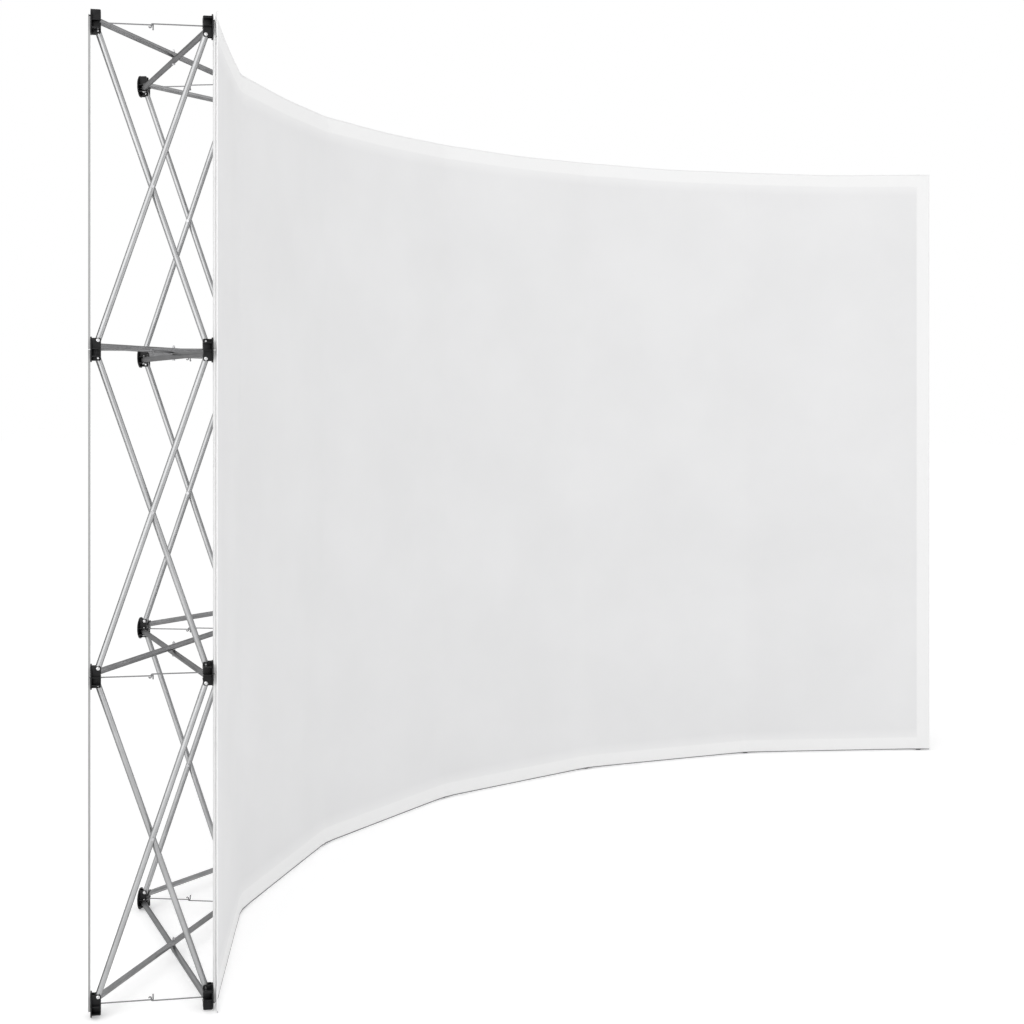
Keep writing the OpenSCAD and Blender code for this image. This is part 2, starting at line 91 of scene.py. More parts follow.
class Graph:
    """A node tree under construction, with short ways to add and join nodes."""

    MIX_ENDS = (6, 7)
    MIX_RESULT = 2

    def __init__(self, tree: NodeTree) -> None:
        """Takes the tree to build in, and empties it."""
        self.tree = tree
        self.tree.nodes.clear()

    def add(self, kind: str, settings: dict[str, str] | None = None, **values: Feed) -> Node:
        """Adds a node.

        Args:
            kind: The node's Blender type name.
            settings: Attributes of the node itself, such as its operation.
            values: Its inputs, as in fill.

        Returns:
            The new node.
        """
        node = self.tree.nodes.new(kind)
        for name, value in (settings or {}).items():
            setattr(node, name, value)
        self.fill(node, **values)
        return node

    def fill(self, node: Node, **values: Feed) -> None:
        """Fills a node's inputs.

        Args:
            node: The node.
            values: Inputs by name, with _ for a space: a socket is linked, and a value is set.
        """
        for name, value in values.items():
            self.feed(node.inputs[name.replace("_", " ")], value)

    def feed(self, socket: Socket, value: Feed) -> None:
        """Fills an input.

        Args:
            socket: The input.
            value: The socket that it is linked to, or the value that it gets.
        """
        if isinstance(value, Socket):
            self.tree.links.new(value, socket)
        else:
            socket.default_value = value

    def math(self, operation: str, *terms: Feed) -> Socket:
        """Adds an operation on numbers.

        Args:
            operation: Its Blender name.
            terms: Sockets or numbers.

        Returns:
            Its result.
        """
        node = self.add("ShaderNodeMath", {"operation": operation})
        for socket, term in zip(node.inputs, terms):
            self.feed(socket, term)
        return node.outputs[0]

    def blend(self, share: Socket, low: Colour | Socket, high: Colour | Socket) -> Socket:
        """Adds a colour between two others.

        Args:
            share: Its place between them, from 0 to 1.
            low: The colour at 0.
            high: The colour at 1.

        Returns:
            The colour.
        """
        node = self.add("ShaderNodeMix", {"data_type": "RGBA"})
        self.feed(node.inputs[0], share)
        for index, value in zip(self.MIX_ENDS, (low, high)):
            linked = isinstance(value, Socket)
            self.feed(node.inputs[index], value if linked else (*value, 1))
        return node.outputs[self.MIX_RESULT]

    def ramp(self, value: Socket, span: Span, onto: Span = (0.0, 1.0)) -> Socket:
        """Maps one span of a value onto another, and holds it there.

        Args:
            value: The value.
            span: The part of it that counts.
            onto: What the ends of that part become.

        Returns:
            The mapped value.
        """
        ends = dict(zip(("From_Min", "From_Max", "To_Min", "To_Max"), (*span, *onto)))
        return self.add("ShaderNodeMapRange", Value=value, **ends).outputs[0]

    def noise(self, place: Socket, kind: Noise) -> Socket:
        """Returns a noise at a place."""
        node = self.add("ShaderNodeTexNoise", Vector=place, Scale=kind.per_metre, Detail=kind.octaves)
        return node.outputs["Fac"]

    def bump(self, height: Socket, depth: float, strength: float = 1.0) -> Socket:
        """Returns a normal for a height from 0 to 1, where depth is in metres."""
        node = self.add("ShaderNodeBump", Height=height, Strength=strength, Distance=depth)
        return node.outputs["Normal"]

    def seen(self) -> Socket:
        """Adds a test for the rays that show a surface to the eye, in metal or through glass.

        Returns:
            1 for those rays, and 0 for light on its way from surface to surface.
        """
        path = self.add("ShaderNodeLightPath").outputs
        seen = self.math("MAXIMUM", path["Is Camera Ray"], path["Is Glossy Ray"])
        return self.math("MAXIMUM", seen, path["Is Transmission Ray"])


# ---------------------------------------------------------------- finishes


@dataclass(frozen=True)
class Finish:
    """A surface finish, which makes one material."""

    name: str
    colour: Colour
    roughness: float = 0.5
    metallic: float = 0.0

    def material(self) -> Material:
        """Builds the material, or finds the one built before.

        Returns:
            The material.
        """
        made = bpy.data.materials.get(self.name)
        if made:
            return made
        made = bpy.data.materials.new(self.name)
        made.use_nodes = True
        made.diffuse_color = (*self.colour, 1)
        graph = Graph(made.node_tree)
        shader = graph.add("ShaderNodeBsdfPrincipled")
        graph.fill(shader, Base_Color=(*self.colour, 1), Roughness=self.roughness, Metallic=self.metallic)
        self.detail(graph, shader)
        graph.add("ShaderNodeOutputMaterial", Surface=shader.outputs[0])
        return made

    def detail(self, graph: Graph, shader: Node) -> None:
        """Adds this finish's own colour, roughness and relief to the shader."""

    def place(self, graph: Graph) -> Socket:
        """Returns the piece's own coordinates, in metres."""
        return graph.add("ShaderNodeTexCoord").outputs["Object"]

    def tone(self, graph: Graph, marks: Socket, span: Span, shades: Span) -> Socket:
        """Returns the finish's colour, made lighter or darker over a span of the marks."""
        low, high = (tuple(min(1.0, part * share) for part in self.colour) for share in shades)
        return graph.blend(graph.ramp(marks, span), low, high)

    def dull(self, graph: Graph, marks: Socket, span: Span, change: Span) -> Socket:
        """Returns the finish's roughness, with change added over a span of the marks."""
        return graph.ramp(marks, span, (self.roughness + change[0], self.roughness + change[1]))


@dataclass(frozen=True)
class MouldedFinish(Finish):
    """Injection moulded plastic with a fine spark-eroded grain."""

    grain: Noise = Noise(1400.0, 3.0)
    grain_depth: float = 0.06 * MM
    wear: Noise = Noise(60.0, 4.0, (0.42, 0.70))
    worn_shades: Span = (1.0, 1.5)
    dull_span: Span = (0.3, 0.7)
    dulled: Span = (-0.06, 0.08)
    gloss: float = 0.22

    def detail(self, graph: Graph, shader: Node) -> None:
        """Adds grain, and wear that lightens the colour in broad patches.

        Args:
            graph: The material's graph.
            shader: Its shader.
        """
        place = self.place(graph)
        wear = graph.noise(place, self.wear)
        graph.fill(
            shader,
            Base_Color=self.tone(graph, wear, self.wear.span, self.worn_shades),
            Roughness=self.dull(graph, wear, self.dull_span, self.dulled),
            Normal=graph.bump(graph.noise(place, self.grain), self.grain_depth),
            Specular_IOR_Level=self.gloss,
        )


@dataclass(frozen=True)
class DrawnFinish(Finish):
    """Drawn and anodised aluminium tube, with die lines that run along it."""

    metallic: float = 1.0
    edge_shade: float = 0.25
    line_pitch: Place = (240.0, 4.0, 1.0)
    lines: Noise = Noise(1.0, 3.0, (0.3, 0.7))
    line_depth: float = 0.004 * MM
    line_strength: float = 0.6
    dulled: Span = (-0.05, 0.07)
    rubs: Noise = Noise(14.0, 4.0, (0.40, 0.65))
    rubbed_shades: Span = (0.93, 1.05)

    def detail(self, graph: Graph, shader: Node) -> None:
        """Adds die lines from the tube's own map, and rubbed patches along it.

        Args:
            graph: The material's graph.
            shader: Its shader.
        """
        uv = graph.add("ShaderNodeUVMap", {"uv_map": SweptTubes.MAP}).outputs[0]
        stretched = graph.add("ShaderNodeMapping", Vector=uv, Scale=self.line_pitch).outputs[0]
        lines = graph.noise(stretched, self.lines)
        rubs = graph.noise(self.place(graph), self.rubs)
        graph.fill(
            shader,
            Base_Color=self.tone(graph, rubs, self.rubs.span, self.rubbed_shades),
            Roughness=self.dull(graph, lines, self.lines.span, self.dulled),
            Normal=graph.bump(lines, self.line_depth, self.line_strength),
            Specular_Tint=(self.edge_shade, self.edge_shade, self.edge_shade, 1),
        )


@dataclass(frozen=True)
class PolishedFinish(Finish):
    """Plated or polished small metalware, with handling marks."""

    metallic: float = 1.0
    marks: Noise = Noise(260.0, 5.0, (0.35, 0.75))
    mark_depth: float = 0.02 * MM
    mark_strength: float = 0.5
    dulled: Span = (0.0, 0.16)

    def detail(self, graph: Graph, shader: Node) -> None:
        """Adds marks that dull the polish.

        Args:
            graph: The material's graph.
            shader: Its shader.
        """
        marks = graph.noise(self.place(graph), self.marks)
        rough = self.dull(graph, marks, self.marks.span, self.dulled)
        graph.fill(shader, Roughness=rough, Normal=graph.bump(marks, self.mark_depth, self.mark_strength))


@dataclass(frozen=True)
class ExtrudedFinish(Finish):
    """Plastic extrusion for the upright channel bars, with long faint draw lines."""

    line_stretch: Place = (1.0, 1.0, 0.01)
    lines: Noise = Noise(1500.0, 2.0)
    line_depth: float = 0.03 * MM
    line_strength: float = 0.5
    scuffs: Noise = Noise(35.0, 5.0, (0.50, 0.72))
    scuffed_shades: Span = (1.0, 0.93)

    def detail(self, graph: Graph, shader: Node) -> None:
        """Adds upright lines, since every bar stands up, and a little scuffing.

        Args:
            graph: The material's graph.
            shader: Its shader.
        """
        place = self.place(graph)
        drawn = graph.add("ShaderNodeMapping", Vector=place, Scale=self.line_stretch).outputs[0]
        lines = graph.bump(graph.noise(drawn, self.lines), self.line_depth, self.line_strength)
        scuffs = graph.noise(place, self.scuffs)
        tone = self.tone(graph, scuffs, self.scuffs.span, self.scuffed_shades)
        graph.fill(shader, Base_Color=tone, Normal=lines)


@dataclass(frozen=True)
class KnitFinish(Finish):
    """Fine warp knit that stretches, white, brighter where tape is sewn behind it."""

    wale: float = 0.9 * MM
    course: float = 1.1 * MM
    backed: Colour = (0.95, 0.95, 0.95)
    stagger: float = 0.9
    loop_height: float = 0.4
    slub: Noise = Noise(220.0, 3.0)
    slub_height: float = 0.8
    relief_depth: float = 0.08 * MM
    relief_strength: float = 0.7
    cloud: Noise = Noise(3.0, 3.0, (0.3, 0.7))
    cloud_shades: Span = (0.975, 1.01)
    sheen: float = 0.12
    sheen_roughness: float = 0.45
    gloss: float = 0.25

    def detail(self, graph: Graph, shader: Node) -> None:
        """Adds the knit's loops, slubs of yarn and the paler border over the tape.

        Args:
            graph: The material's graph.
            shader: Its shader.
        """
        uv = graph.add("ShaderNodeUVMap", {"uv_map": StretchSkin.MAP}).outputs[0]
        slub = graph.math("MULTIPLY", graph.noise(uv, self.slub), self.slub_height)
        height = graph.math("ADD", self.loops(graph, uv), slub)
        tone = self.tone(graph, graph.noise(uv, self.cloud), self.cloud.span, self.cloud_shades)
        kind = {"attribute_name": StretchSkin.BORDER, "attribute_type": "GEOMETRY"}
        border = graph.add("ShaderNodeAttribute", kind).outputs["Fac"]
        graph.fill(
            shader,
            Base_Color=graph.blend(border, tone, self.backed),
            Normal=graph.bump(height, self.relief_depth, self.relief_strength),
            Sheen_Weight=self.sheen,
            Sheen_Roughness=self.sheen_roughness,
            Specular_IOR_Level=self.gloss,
        )

    def loops(self, graph: Graph, uv: Socket) -> Socket:
        """Adds the height of the knit's loops.

        Args:
            graph: The material's graph.
            uv: The cloth's own map, in metres.

        Returns:
            The height, between about 0 and 1.
        """
        flat = graph.add("ShaderNodeSeparateXYZ", Vector=uv)
        across = graph.math("SINE", graph.math("MULTIPLY", flat.outputs[0], math.tau / self.wale))
        up = graph.math("MULTIPLY", flat.outputs[1], math.tau / self.course)
        rows = graph.math("SINE", graph.math("ADD", up, graph.math("MULTIPLY", across, self.stagger)))
        both = graph.math("ADD", rows, graph.math("ABSOLUTE", across))
        return graph.math("MULTIPLY", both, self.loop_height)


@dataclass(frozen=True)
class PileFinish(Finish):
    """Brushed loop tape with a soft nap."""

    nap: Noise = Noise(900.0, 6.0, (0.35, 0.65))
    nap_shades: Span = (0.86, 1.0)
    nap_depth: float = 0.6 * MM
    nap_strength: float = 0.8
    sheen: float = 0.35
    sheen_roughness: float = 0.6

    def detail(self, graph: Graph, shader: Node) -> None:
        """Adds the nap's tufts and their colour.

        Args:
            graph: The material's graph.
            shader: Its shader.
        """
        nap = graph.noise(self.place(graph), self.nap)
        graph.fill(
            shader,
            Base_Color=self.tone(graph, nap, self.nap.span, self.nap_shades),
            Normal=graph.bump(nap, self.nap_depth, self.nap_strength),
            Sheen_Weight=self.sheen,
            Sheen_Roughness=self.sheen_roughness,
        )


@dataclass(frozen=True)
class BackdropFinish(Finish):
    """Studio floor: white to the eye and in metal, and it keeps shadows.

    lift is the light that eye and metal see on top of what falls on the surface.
    """

    lift: float = 0.34

    def detail(self, graph: Graph, shader: Node) -> None:
        """Adds the lift for what looks at the surface, and leaves light between surfaces alone.

        Args:
            graph: The material's graph.
            shader: Its shader.
        """
        glow = graph.math("MULTIPLY", graph.seen(), self.lift)
        graph.fill(shader, Emission_Color=(1, 1, 1, 1), Emission_Strength=glow, Specular_IOR_Level=0.0)


class Finishes(Enum):
    """The finishes of this wall, by what wears them."""

    HUB = MouldedFinish("moulded_black", (0.006, 0.006, 0.0065), 0.40)
    CAP = MouldedFinish("moulded_cap", (0.05, 0.05, 0.052), 0.5)
    WASHER = MouldedFinish("moulded_natural", (0.72, 0.72, 0.70), 0.45)
    UPRIGHT = DrawnFinish("anodised_bright", (0.42, 0.423, 0.427), 0.34)
    # Painted shade: the level tubes are the same aluminium as the uprights, coloured darker because they
    # face the light less.
    LEVEL = DrawnFinish("anodised_painted_shade", (0.38, 0.38, 0.385), 0.36)
    RIVET = PolishedFinish("polished_rivet", (0.62, 0.62, 0.625), 0.16)
    BOLT = PolishedFinish("plated_bolt", (0.50, 0.50, 0.51), 0.30)
    WIRE = PolishedFinish("drawn_wire", (0.22, 0.22, 0.225), 0.32)
    # One extrusion in two colours: the front bars' pale colour is partly their white hook strips and partly
    # painted light against the shade between hub and cloth.
    BAR = ExtrudedFinish("extruded_strips_painted_light", (0.72, 0.72, 0.72), 0.42)
    # Painted shade: the rear bars are coloured darker than the front ones for the shade on their outward
    # faces.
    REAR_BAR = ExtrudedFinish("extruded_painted_shade", (0.36, 0.36, 0.36), 0.42)
    SKIN = KnitFinish("stretch_knit", (0.86, 0.86, 0.865), 0.75)
    THREAD = Finish("sewing_thread", (0.84, 0.84, 0.84), 0.6)
    # A thin dark strip wrapped round the cloth's lower edge.
    DARK_EDGE = Finish("edge_binding", (0.16, 0.16, 0.165), 0.8)
    LOOP = PileFinish("loop_pile", (0.86, 0.86, 0.86), 0.95)
    FLOOR = BackdropFinish("studio_floor", (0.80, 0.80, 0.80), 0.9)

    def material(self) -> Material:
        """Returns this finish's material."""
        return self.value.material()


# ---------------------------------------------------------------- the wall's plan


@dataclass(frozen=True)
class WallPlan:
    """Where the columns, hubs and tubes stand."""

    cell: float = 736 * MM
    bays: int = 6
    cells: int = 3
    bay_turn: float = 17.5
    depth: float = 250 * MM
    tab_reach: float = 28.5 * MM
    hub_t: float = 23 * MM
    cheek_t: float = 2.5 * MM
    rivet_reach: float = 20 * MM
    rivet_in: float = 6.5 * MM
    tube_side: float = 7.4 * MM
    skin_back: float = 18.3 * MM
    skin_t: float = 1.2 * MM
    skin_past: float = 42 * MM
    skin_over: float = 27 * MM
    skin_under: float = 24 * MM
    bar_w: float = 30 * MM
    stud_tip: float = 16 * MM

    @property
    def mid_r(self) -> float:
        """Radius of the wall's middle depth."""
        return self.cell / (2 * math.sin(math.radians(self.bay_turn / 2)))

    @property
    def front_r(self) -> float:
        """Radius of the front hubs."""
        return self.mid_r - self.depth / 2

    @property
    def rear_r(self) -> float:
        """Radius of the rear hubs."""
        return self.mid_r + self.depth / 2

    @property
    def middle_y(self) -> float:
        """Measures how far the middle of the wall's outline is from the centre of curvature.

        Returns:
            The distance.
        """
        end = math.radians(self.turn(self.bays))
        skin_front = self.skin_back + self.skin_t
        near = (self.front_r - skin_front) * math.cos(end) - self.skin_past * math.sin(end)
        return (self.rear_r + self.stud_tip + near) / 2

    def turn(self, i: float) -> float:
        """Turn of column i about the centre of curvature."""
        return (i - self.bays / 2) * self.bay_turn

    def level(self, j: int) -> float:
        """Height of the hubs on level j."""
        return self.tab_reach + j * self.cell

    def column(self, i: float) -> Matrix:
        """Frame of column i: X along the wall, Y out towards its rear."""
        turned = Matrix.Rotation(math.radians(-self.turn(i)), 4, "Z")
        return Matrix.Translation((0, -self.middle_y, 0)) @ turned

    def hub(self, i: int, j: int, front: bool) -> Matrix:
        """Finds a hub.

        Args:
            i: Its column.
            j: Its level.
            front: Whether it is on the viewer's side.

        Returns:
            Its frame, with its outer face towards +Y.
        """
        radius = self.front_r if front else self.rear_r
        place = self.column(i) @ Matrix.Translation((0, radius, self.level(j)))
        return place @ Matrix.Rotation(math.pi if front else 0.0, 4, "Z")

    def arm(self, i: int, j: int, front: bool, arm: int) -> Matrix:
        """Frame of a hub's arm: 0 up, 1 right, 2 down and 3 left in the hub's frame."""
        return self.hub(i, j, front) @ Matrix.Rotation(math.radians(90 * arm), 4, "Y")

    def rivet(self, i: int, j: int, front: bool, arm: int) -> Vector:
        """Middle of the tube's end on an arm."""
        local = Vector((-self.tube_side, self.rivet_in - self.hub_t / 2, self.rivet_reach))
        return self.arm(i, j, front, arm) @ local

    def hubs(self) -> Iterator[tuple[int, int, bool]]:
        """Goes through the hubs.

        Returns:
            Each hub's column, level and side.
        """
        for i in range(self.bays + 1):
            for j in range(self.cells + 1):
                for front in (True, False):
                    yield i, j, front

    def arms_in_use(self) -> Iterator[tuple[int, int, bool, int]]:
        """Goes through the hub arms that hold a tube.

        Returns:
            Each one's column, level, side and number.
        """
        for i, j, front in self.hubs():
            right = 3 if front else 1
            used = {0: j < self.cells, 2: j > 0, right: i < self.bays, 4 - right: i > 0}
            for arm in range(4):
                if used[arm]:
                    yield i, j, front, arm

    def upright_tubes(self) -> Iterator[tuple[Vector, Vector]]:
        """Goes through the tubes of the upright crosses.

        Returns:
            Both ends of each.
        """
        for i in range(self.bays + 1):
            for j in range(self.cells):
                for front in (True, False):
                    yield self.rivet(i, j, front, 0), self.rivet(i, j + 1, not front, 2)

    def level_tubes(self) -> Iterator[tuple[Vector, Vector]]:
        """Goes through the tubes of the level crosses.

        Returns:
            Both ends of each.
        """
        for i in range(self.bays):
            for j in range(self.cells + 1):
                yield self.rivet(i, j, True, 3), self.rivet(i + 1, j, False, 3)
                yield self.rivet(i, j, False, 1), self.rivet(i + 1, j, True, 1)


# ---------------------------------------------------------------- making pieces


def in_scene(name: str, data: ID) -> Object:
    """Puts something into the scene.

    Args:
        name: The object's name.
        data: Its mesh, light or camera.

    Returns:
        The object, at the origin.
    """
    made = bpy.data.objects.new(name, data)
    bpy.context.scene.collection.objects.link(made)
    return made


@contextmanager
def edited(mesh: Mesh) -> Iterator[Shape]:
    """Opens a mesh, and writes it back when the block ends.

    Args:
        mesh: The mesh.

    Returns:
        Its shape, to change in the block.
    """
    shape = bmesh.new()
    shape.from_mesh(mesh)
    yield shape
    shape.to_mesh(mesh)
    shape.free()


def mesh_from(name: str, build: Callable[[Shape], None]) -> Mesh:
    """Makes a mesh.

    Args:
        name: Its name.
        build: What fills it in.

    Returns:
        The mesh.
    """
    mesh = bpy.data.meshes.new(name)
    with edited(mesh) as shape:
        build(shape)
    return mesh


def mesh_of(
    name: str, points: Sequence[Place], edges: Sequence[Ring] = (), faces: Sequence[Ring] = ()
) -> Mesh:
    """Makes a mesh of points.

    Args:
        name: Its name.
        points: Its points.
        edges: The two points of each edge, by number.
        faces: The points round each face, by number.

    Returns:
        The mesh.
    """
    mesh = bpy.data.meshes.new(name)
    mesh.from_pydata(points, edges, faces)
    return mesh


def dress(piece: Object, finish: Finishes, body: str, replaces: Sequence[str] = ()) -> Object:
    """Gives a finished piece its material, its body and the solids that it stands for.

    Args:
        piece: The finished piece, at the origin.
        finish: What it wears.
        body: The body that it moves with.
        replaces: The solids that it stands for.

    Returns:
        The same piece.
    """
    if not piece.data.materials:
        piece.data.materials.append(finish.material())
    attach(piece, body)
    if replaces:
        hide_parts(*replaces)
    LOG.info("%s: %d faces on %s", piece.name, len(piece.data.polygons), body)
    return piece


def prism(shape: Shape, outline: Sequence[Point], low: float, high: float, place: Matrix) -> None:
    """Adds a closed prism.

    Args:
        shape: Where to add it.
        outline: Corners in the prism's own X and Y, anticlockwise.
        low: Where it starts on its own Z.
        high: Where it ends on its own Z.
        place: From the prism's own frame to the shape's.
    """
    rings = [[shape.verts.new(place @ Vector((x, y, z))) for x, y in outline] for z in (low, high)]
    shape.faces.new(list(reversed(rings[0])))
    shape.faces.new(rings[1])
    for k in range(len(outline)):
        after = (k + 1) % len(outline)
        shape.faces.new((rings[0][k], rings[0][after], rings[1][after], rings[1][k]))


def turned(shape: Shape, profile: Sequence[Point], sides: int, place: Matrix) -> None:
    """Adds a closed solid turned about its own Z.

    Args:
        shape: Where to add it.
        profile: Radius and height from the low middle to the high middle, without the two poles.
        sides: Faces round it.
        place: From the solid's own frame to the shape's.
    """
    angles = [math.tau * k / sides for k in range(sides)]
    rings = [
        [shape.verts.new(place @ Vector((r * math.cos(a), r * math.sin(a), z))) for a in angles]
        for r, z in profile
    ]
    for low, high in zip(rings, rings[1:]):
        for k in range(sides):
            after = (k + 1) % sides
            shape.faces.new((low[k], low[after], high[after], high[k]))
    shape.faces.new(list(reversed(rings[0])))
    shape.faces.new(rings[-1])


def arc(middle: Point, radius: float, start: float, end: float, steps: int) -> list[Point]:
    """Returns points along an arc about middle, from start to end degrees."""
    angles = [math.radians(start + (end - start) * k / steps) for k in range(steps + 1)]
    return [(middle[0] + radius * math.cos(a), middle[1] + radius * math.sin(a)) for a in angles]


def baked(holder: Object) -> Mesh:
    """Makes a plain mesh of an object and its modifiers, and clears these.

    Args:
        holder: The object.

    Returns:
        The mesh.
    """
    bpy.context.view_layer.update()
    graph = bpy.context.evaluated_depsgraph_get()
    mesh = bpy.data.meshes.new_from_object(holder.evaluated_get(graph), depsgraph=graph)
    holder.modifiers.clear()
    return mesh


def soften(mesh: Mesh, width: float, segments: int = 2) -> Mesh:
    """Rounds a mesh's sharp edges.

    Args:
        mesh: The mesh, which is removed.
        width: Width of the rounding.
        segments: Faces across it.

    Returns:
        The rounded mesh.
    """
    holder = in_scene("soften", mesh)
    bevel = holder.modifiers.new("round", "BEVEL")
    bevel.width = width
    bevel.segments = segments
    bevel.limit_method = "ANGLE"
    bevel.angle_limit = math.radians(SHARP)
    result = baked(holder)
    bpy.data.objects.remove(holder)
    bpy.data.meshes.remove(mesh)
    return result


def carved(mesh: Mesh, space: Mesh) -> Mesh:
    """Joins the parts of a mesh into one solid, and takes a space out of it.

    Args:
        mesh: The parts, which are removed.
        space: The space, which is removed.

    Returns:
        The solid's mesh.
    """
    holder = in_scene("carve", mesh)
    cutter = in_scene("space", space)
    cut = holder.modifiers.new("cut", "BOOLEAN")
    cut.operation = "DIFFERENCE"
    cut.solver = "EXACT"
    cut.use_self = True
    cut.object = cutter
    result = baked(holder)
    for old in (holder, cutter):
        bpy.data.objects.remove(old)
    for old in (mesh, space):
        bpy.data.meshes.remove(old)
    weld(result)
    return result


def weld(mesh: Mesh) -> None:
    """Joins points closer than WELD and takes out the slivers between them.

    Args:
        mesh: The mesh to clean.
    """
    with edited(mesh) as shape:
        bmesh.ops.remove_doubles(shape, verts=shape.verts, dist=WELD)
        bmesh.ops.dissolve_degenerate(shape, edges=shape.edges, dist=WELD)


def smooth(mesh: Mesh, angle: float = 32.0) -> None:
    """Shades a mesh smooth, except over its sharper edges.

    Args:
        mesh: The mesh to shade.
        angle: Turn from which an edge stays sharp.
    """
    mesh.shade_smooth()
    limit = math.radians(angle)
    with edited(mesh) as shape:
        for edge in shape.edges:
            edge.smooth = len(edge.link_faces) == 2 and edge.calc_face_angle(0.0) < limit


class Generator:
    """A Geometry Nodes tree with named inputs, run once on a mesh."""

    def __init__(self, name: str) -> None:
        """Starts a tree with a geometry socket at each end.

        Args:
            name: The tree's name.
        """
        self.tree = bpy.data.node_groups.new(name, "GeometryNodeTree")
        self.graph = Graph(self.tree)
        for way in ("INPUT", "OUTPUT"):
            self.tree.interface.new_socket("Geometry", in_out=way, socket_type="NodeSocketGeometry")
        self.entry = self.graph.add("NodeGroupInput")

    def size(self, name: str, kind: str = "NodeSocketFloat") -> Socket:
        """Adds a named input, and returns its socket inside the tree."""
        self.tree.interface.new_socket(name, in_out="INPUT", socket_type=kind)
        return self.entry.outputs[name]

    def named(self, name: str, kind: str) -> Socket:
        """Returns a named attribute, whose data type is kind."""
        node = self.graph.add("GeometryNodeInputNamedAttribute", {"data_type": kind}, Name=name)
        return node.outputs["Attribute"]

    def finish(self, geometry: Socket) -> None:
        """Ends the tree: instances are made real and wear the named finish.

        Args:
            geometry: What the tree has made.
        """
        finish = self.size("Finish", "NodeSocketMaterial")
        real = self.graph.add("GeometryNodeRealizeInstances", Geometry=geometry)
        worn = self.graph.add("GeometryNodeSetMaterial", Geometry=real.outputs[0], Material=finish)
        self.graph.add("NodeGroupOutput", Geometry=worn.outputs[0])

    def run(self, name: str, start: Mesh, values: dict[str, Feed]) -> Object:
        """Runs the tree.

        Args:
            name: Name of the piece that it makes.
            start: The mesh that the tree starts from, which is removed.
            values: The tree's inputs by name.

        Returns:
            The piece, as a plain mesh at the origin.
        """
        holder = in_scene(f"{name}_start", start)
        modifier = holder.modifiers.new(name, "NODES")
        modifier.node_group = self.tree
        sockets = {s.name: s.identifier for s in self.tree.interface.items_tree if s.in_out == "INPUT"}
        for key, value in values.items():
            modifier[sockets[key]] = value
        mesh = baked(holder)
        mesh.name = name
        bpy.data.objects.remove(holder)
        bpy.data.meshes.remove(start)
        return in_scene(name, mesh)


class Scatter(Generator):
    """Sets copies of one part on points that each carry a turn."""

    TURN = "turn"

    def __init__(self) -> None:
        """Builds the tree."""
        super().__init__("set_on_points")
        graph = self.graph
        part = graph.add("GeometryNodeObjectInfo", Object=self.size("Part", "NodeSocketObject"))
        euler = graph.add("FunctionNodeEulerToRotation", Euler=self.named(self.TURN, "FLOAT_VECTOR"))
        points = graph.add("GeometryNodeMeshToPoints", Mesh=self.entry.outputs["Geometry"])
        copies = graph.add(
            "GeometryNodeInstanceOnPoints",
            Points=points.outputs[0],
            Instance=part.outputs["Geometry"],
            Rotation=euler.outputs[0],
        )
        self.finish(copies.outputs[0])

    def set(self, name: str, part: Mesh, places: Sequence[Matrix], finish: Finishes) -> Object:
        """Sets a copy of part at each place.

        Args:
            name: Name of the piece.
            part: The part's mesh in its own frame, which is removed.
            places: From the part's frame to the wall's, one for each copy.
            finish: What the copies wear.

        Returns:
            One piece with all the copies.
        """
        points = mesh_of("places", [place.translation for place in places])
        turns = points.attributes.new(self.TURN, "FLOAT_VECTOR", "POINT")
        turns.data.foreach_set("vector", [a for place in places for a in place.to_euler("XYZ")])
        holder = in_scene("part", part)
        piece = self.run(name, points, {"Part": holder, "Finish": finish.material()})
        bpy.data.objects.remove(holder)
        bpy.data.meshes.remove(part)
        return piece


class SweptTubes(Generator):
    """Sweeps a round tube along each edge of a mesh, with a map for its die lines."""

    MAP = "tube_map"
    AROUND = "around"
    ALONG = "along"

    def __init__(self) -> None:
        """Builds the tree."""
        super().__init__("sweep_tubes")
        graph = self.graph
        radius = self.size("Radius")
        sides = self.size("Sides", "NodeSocketInt")
        spline = graph.add("GeometryNodeSplineParameter").outputs
        runs = graph.add("GeometryNodeMeshToCurve", Mesh=self.entry.outputs["Geometry"]).outputs[0]
        runs = self.stored(runs, self.ALONG, spline["Length"])
        ring = graph.add("GeometryNodeCurvePrimitiveCircle", Resolution=sides, Radius=radius).outputs[0]
        ring = self.stored(ring, self.AROUND, spline["Factor"])
        swept = graph.add("GeometryNodeCurveToMesh", Curve=runs, Profile_Curve=ring, Fill_Caps=True)
        u, v = (self.named(name, "FLOAT") for name in (self.AROUND, self.ALONG))
        flat = graph.add("ShaderNodeCombineXYZ", X=u, Y=v).outputs[0]
        self.finish(self.stored(swept.outputs[0], self.MAP, flat, data_type="FLOAT2", domain="CORNER"))

    def stored(self, geometry: Socket, name: str, value: Socket, **settings: str) -> Socket:
        """Returns the geometry with a value kept under a name. Settings give its type and domain."""
        kind = "GeometryNodeStoreNamedAttribute"
        return self.graph.add(kind, settings, Geometry=geometry, Name=name, Value=value).outputs[0]


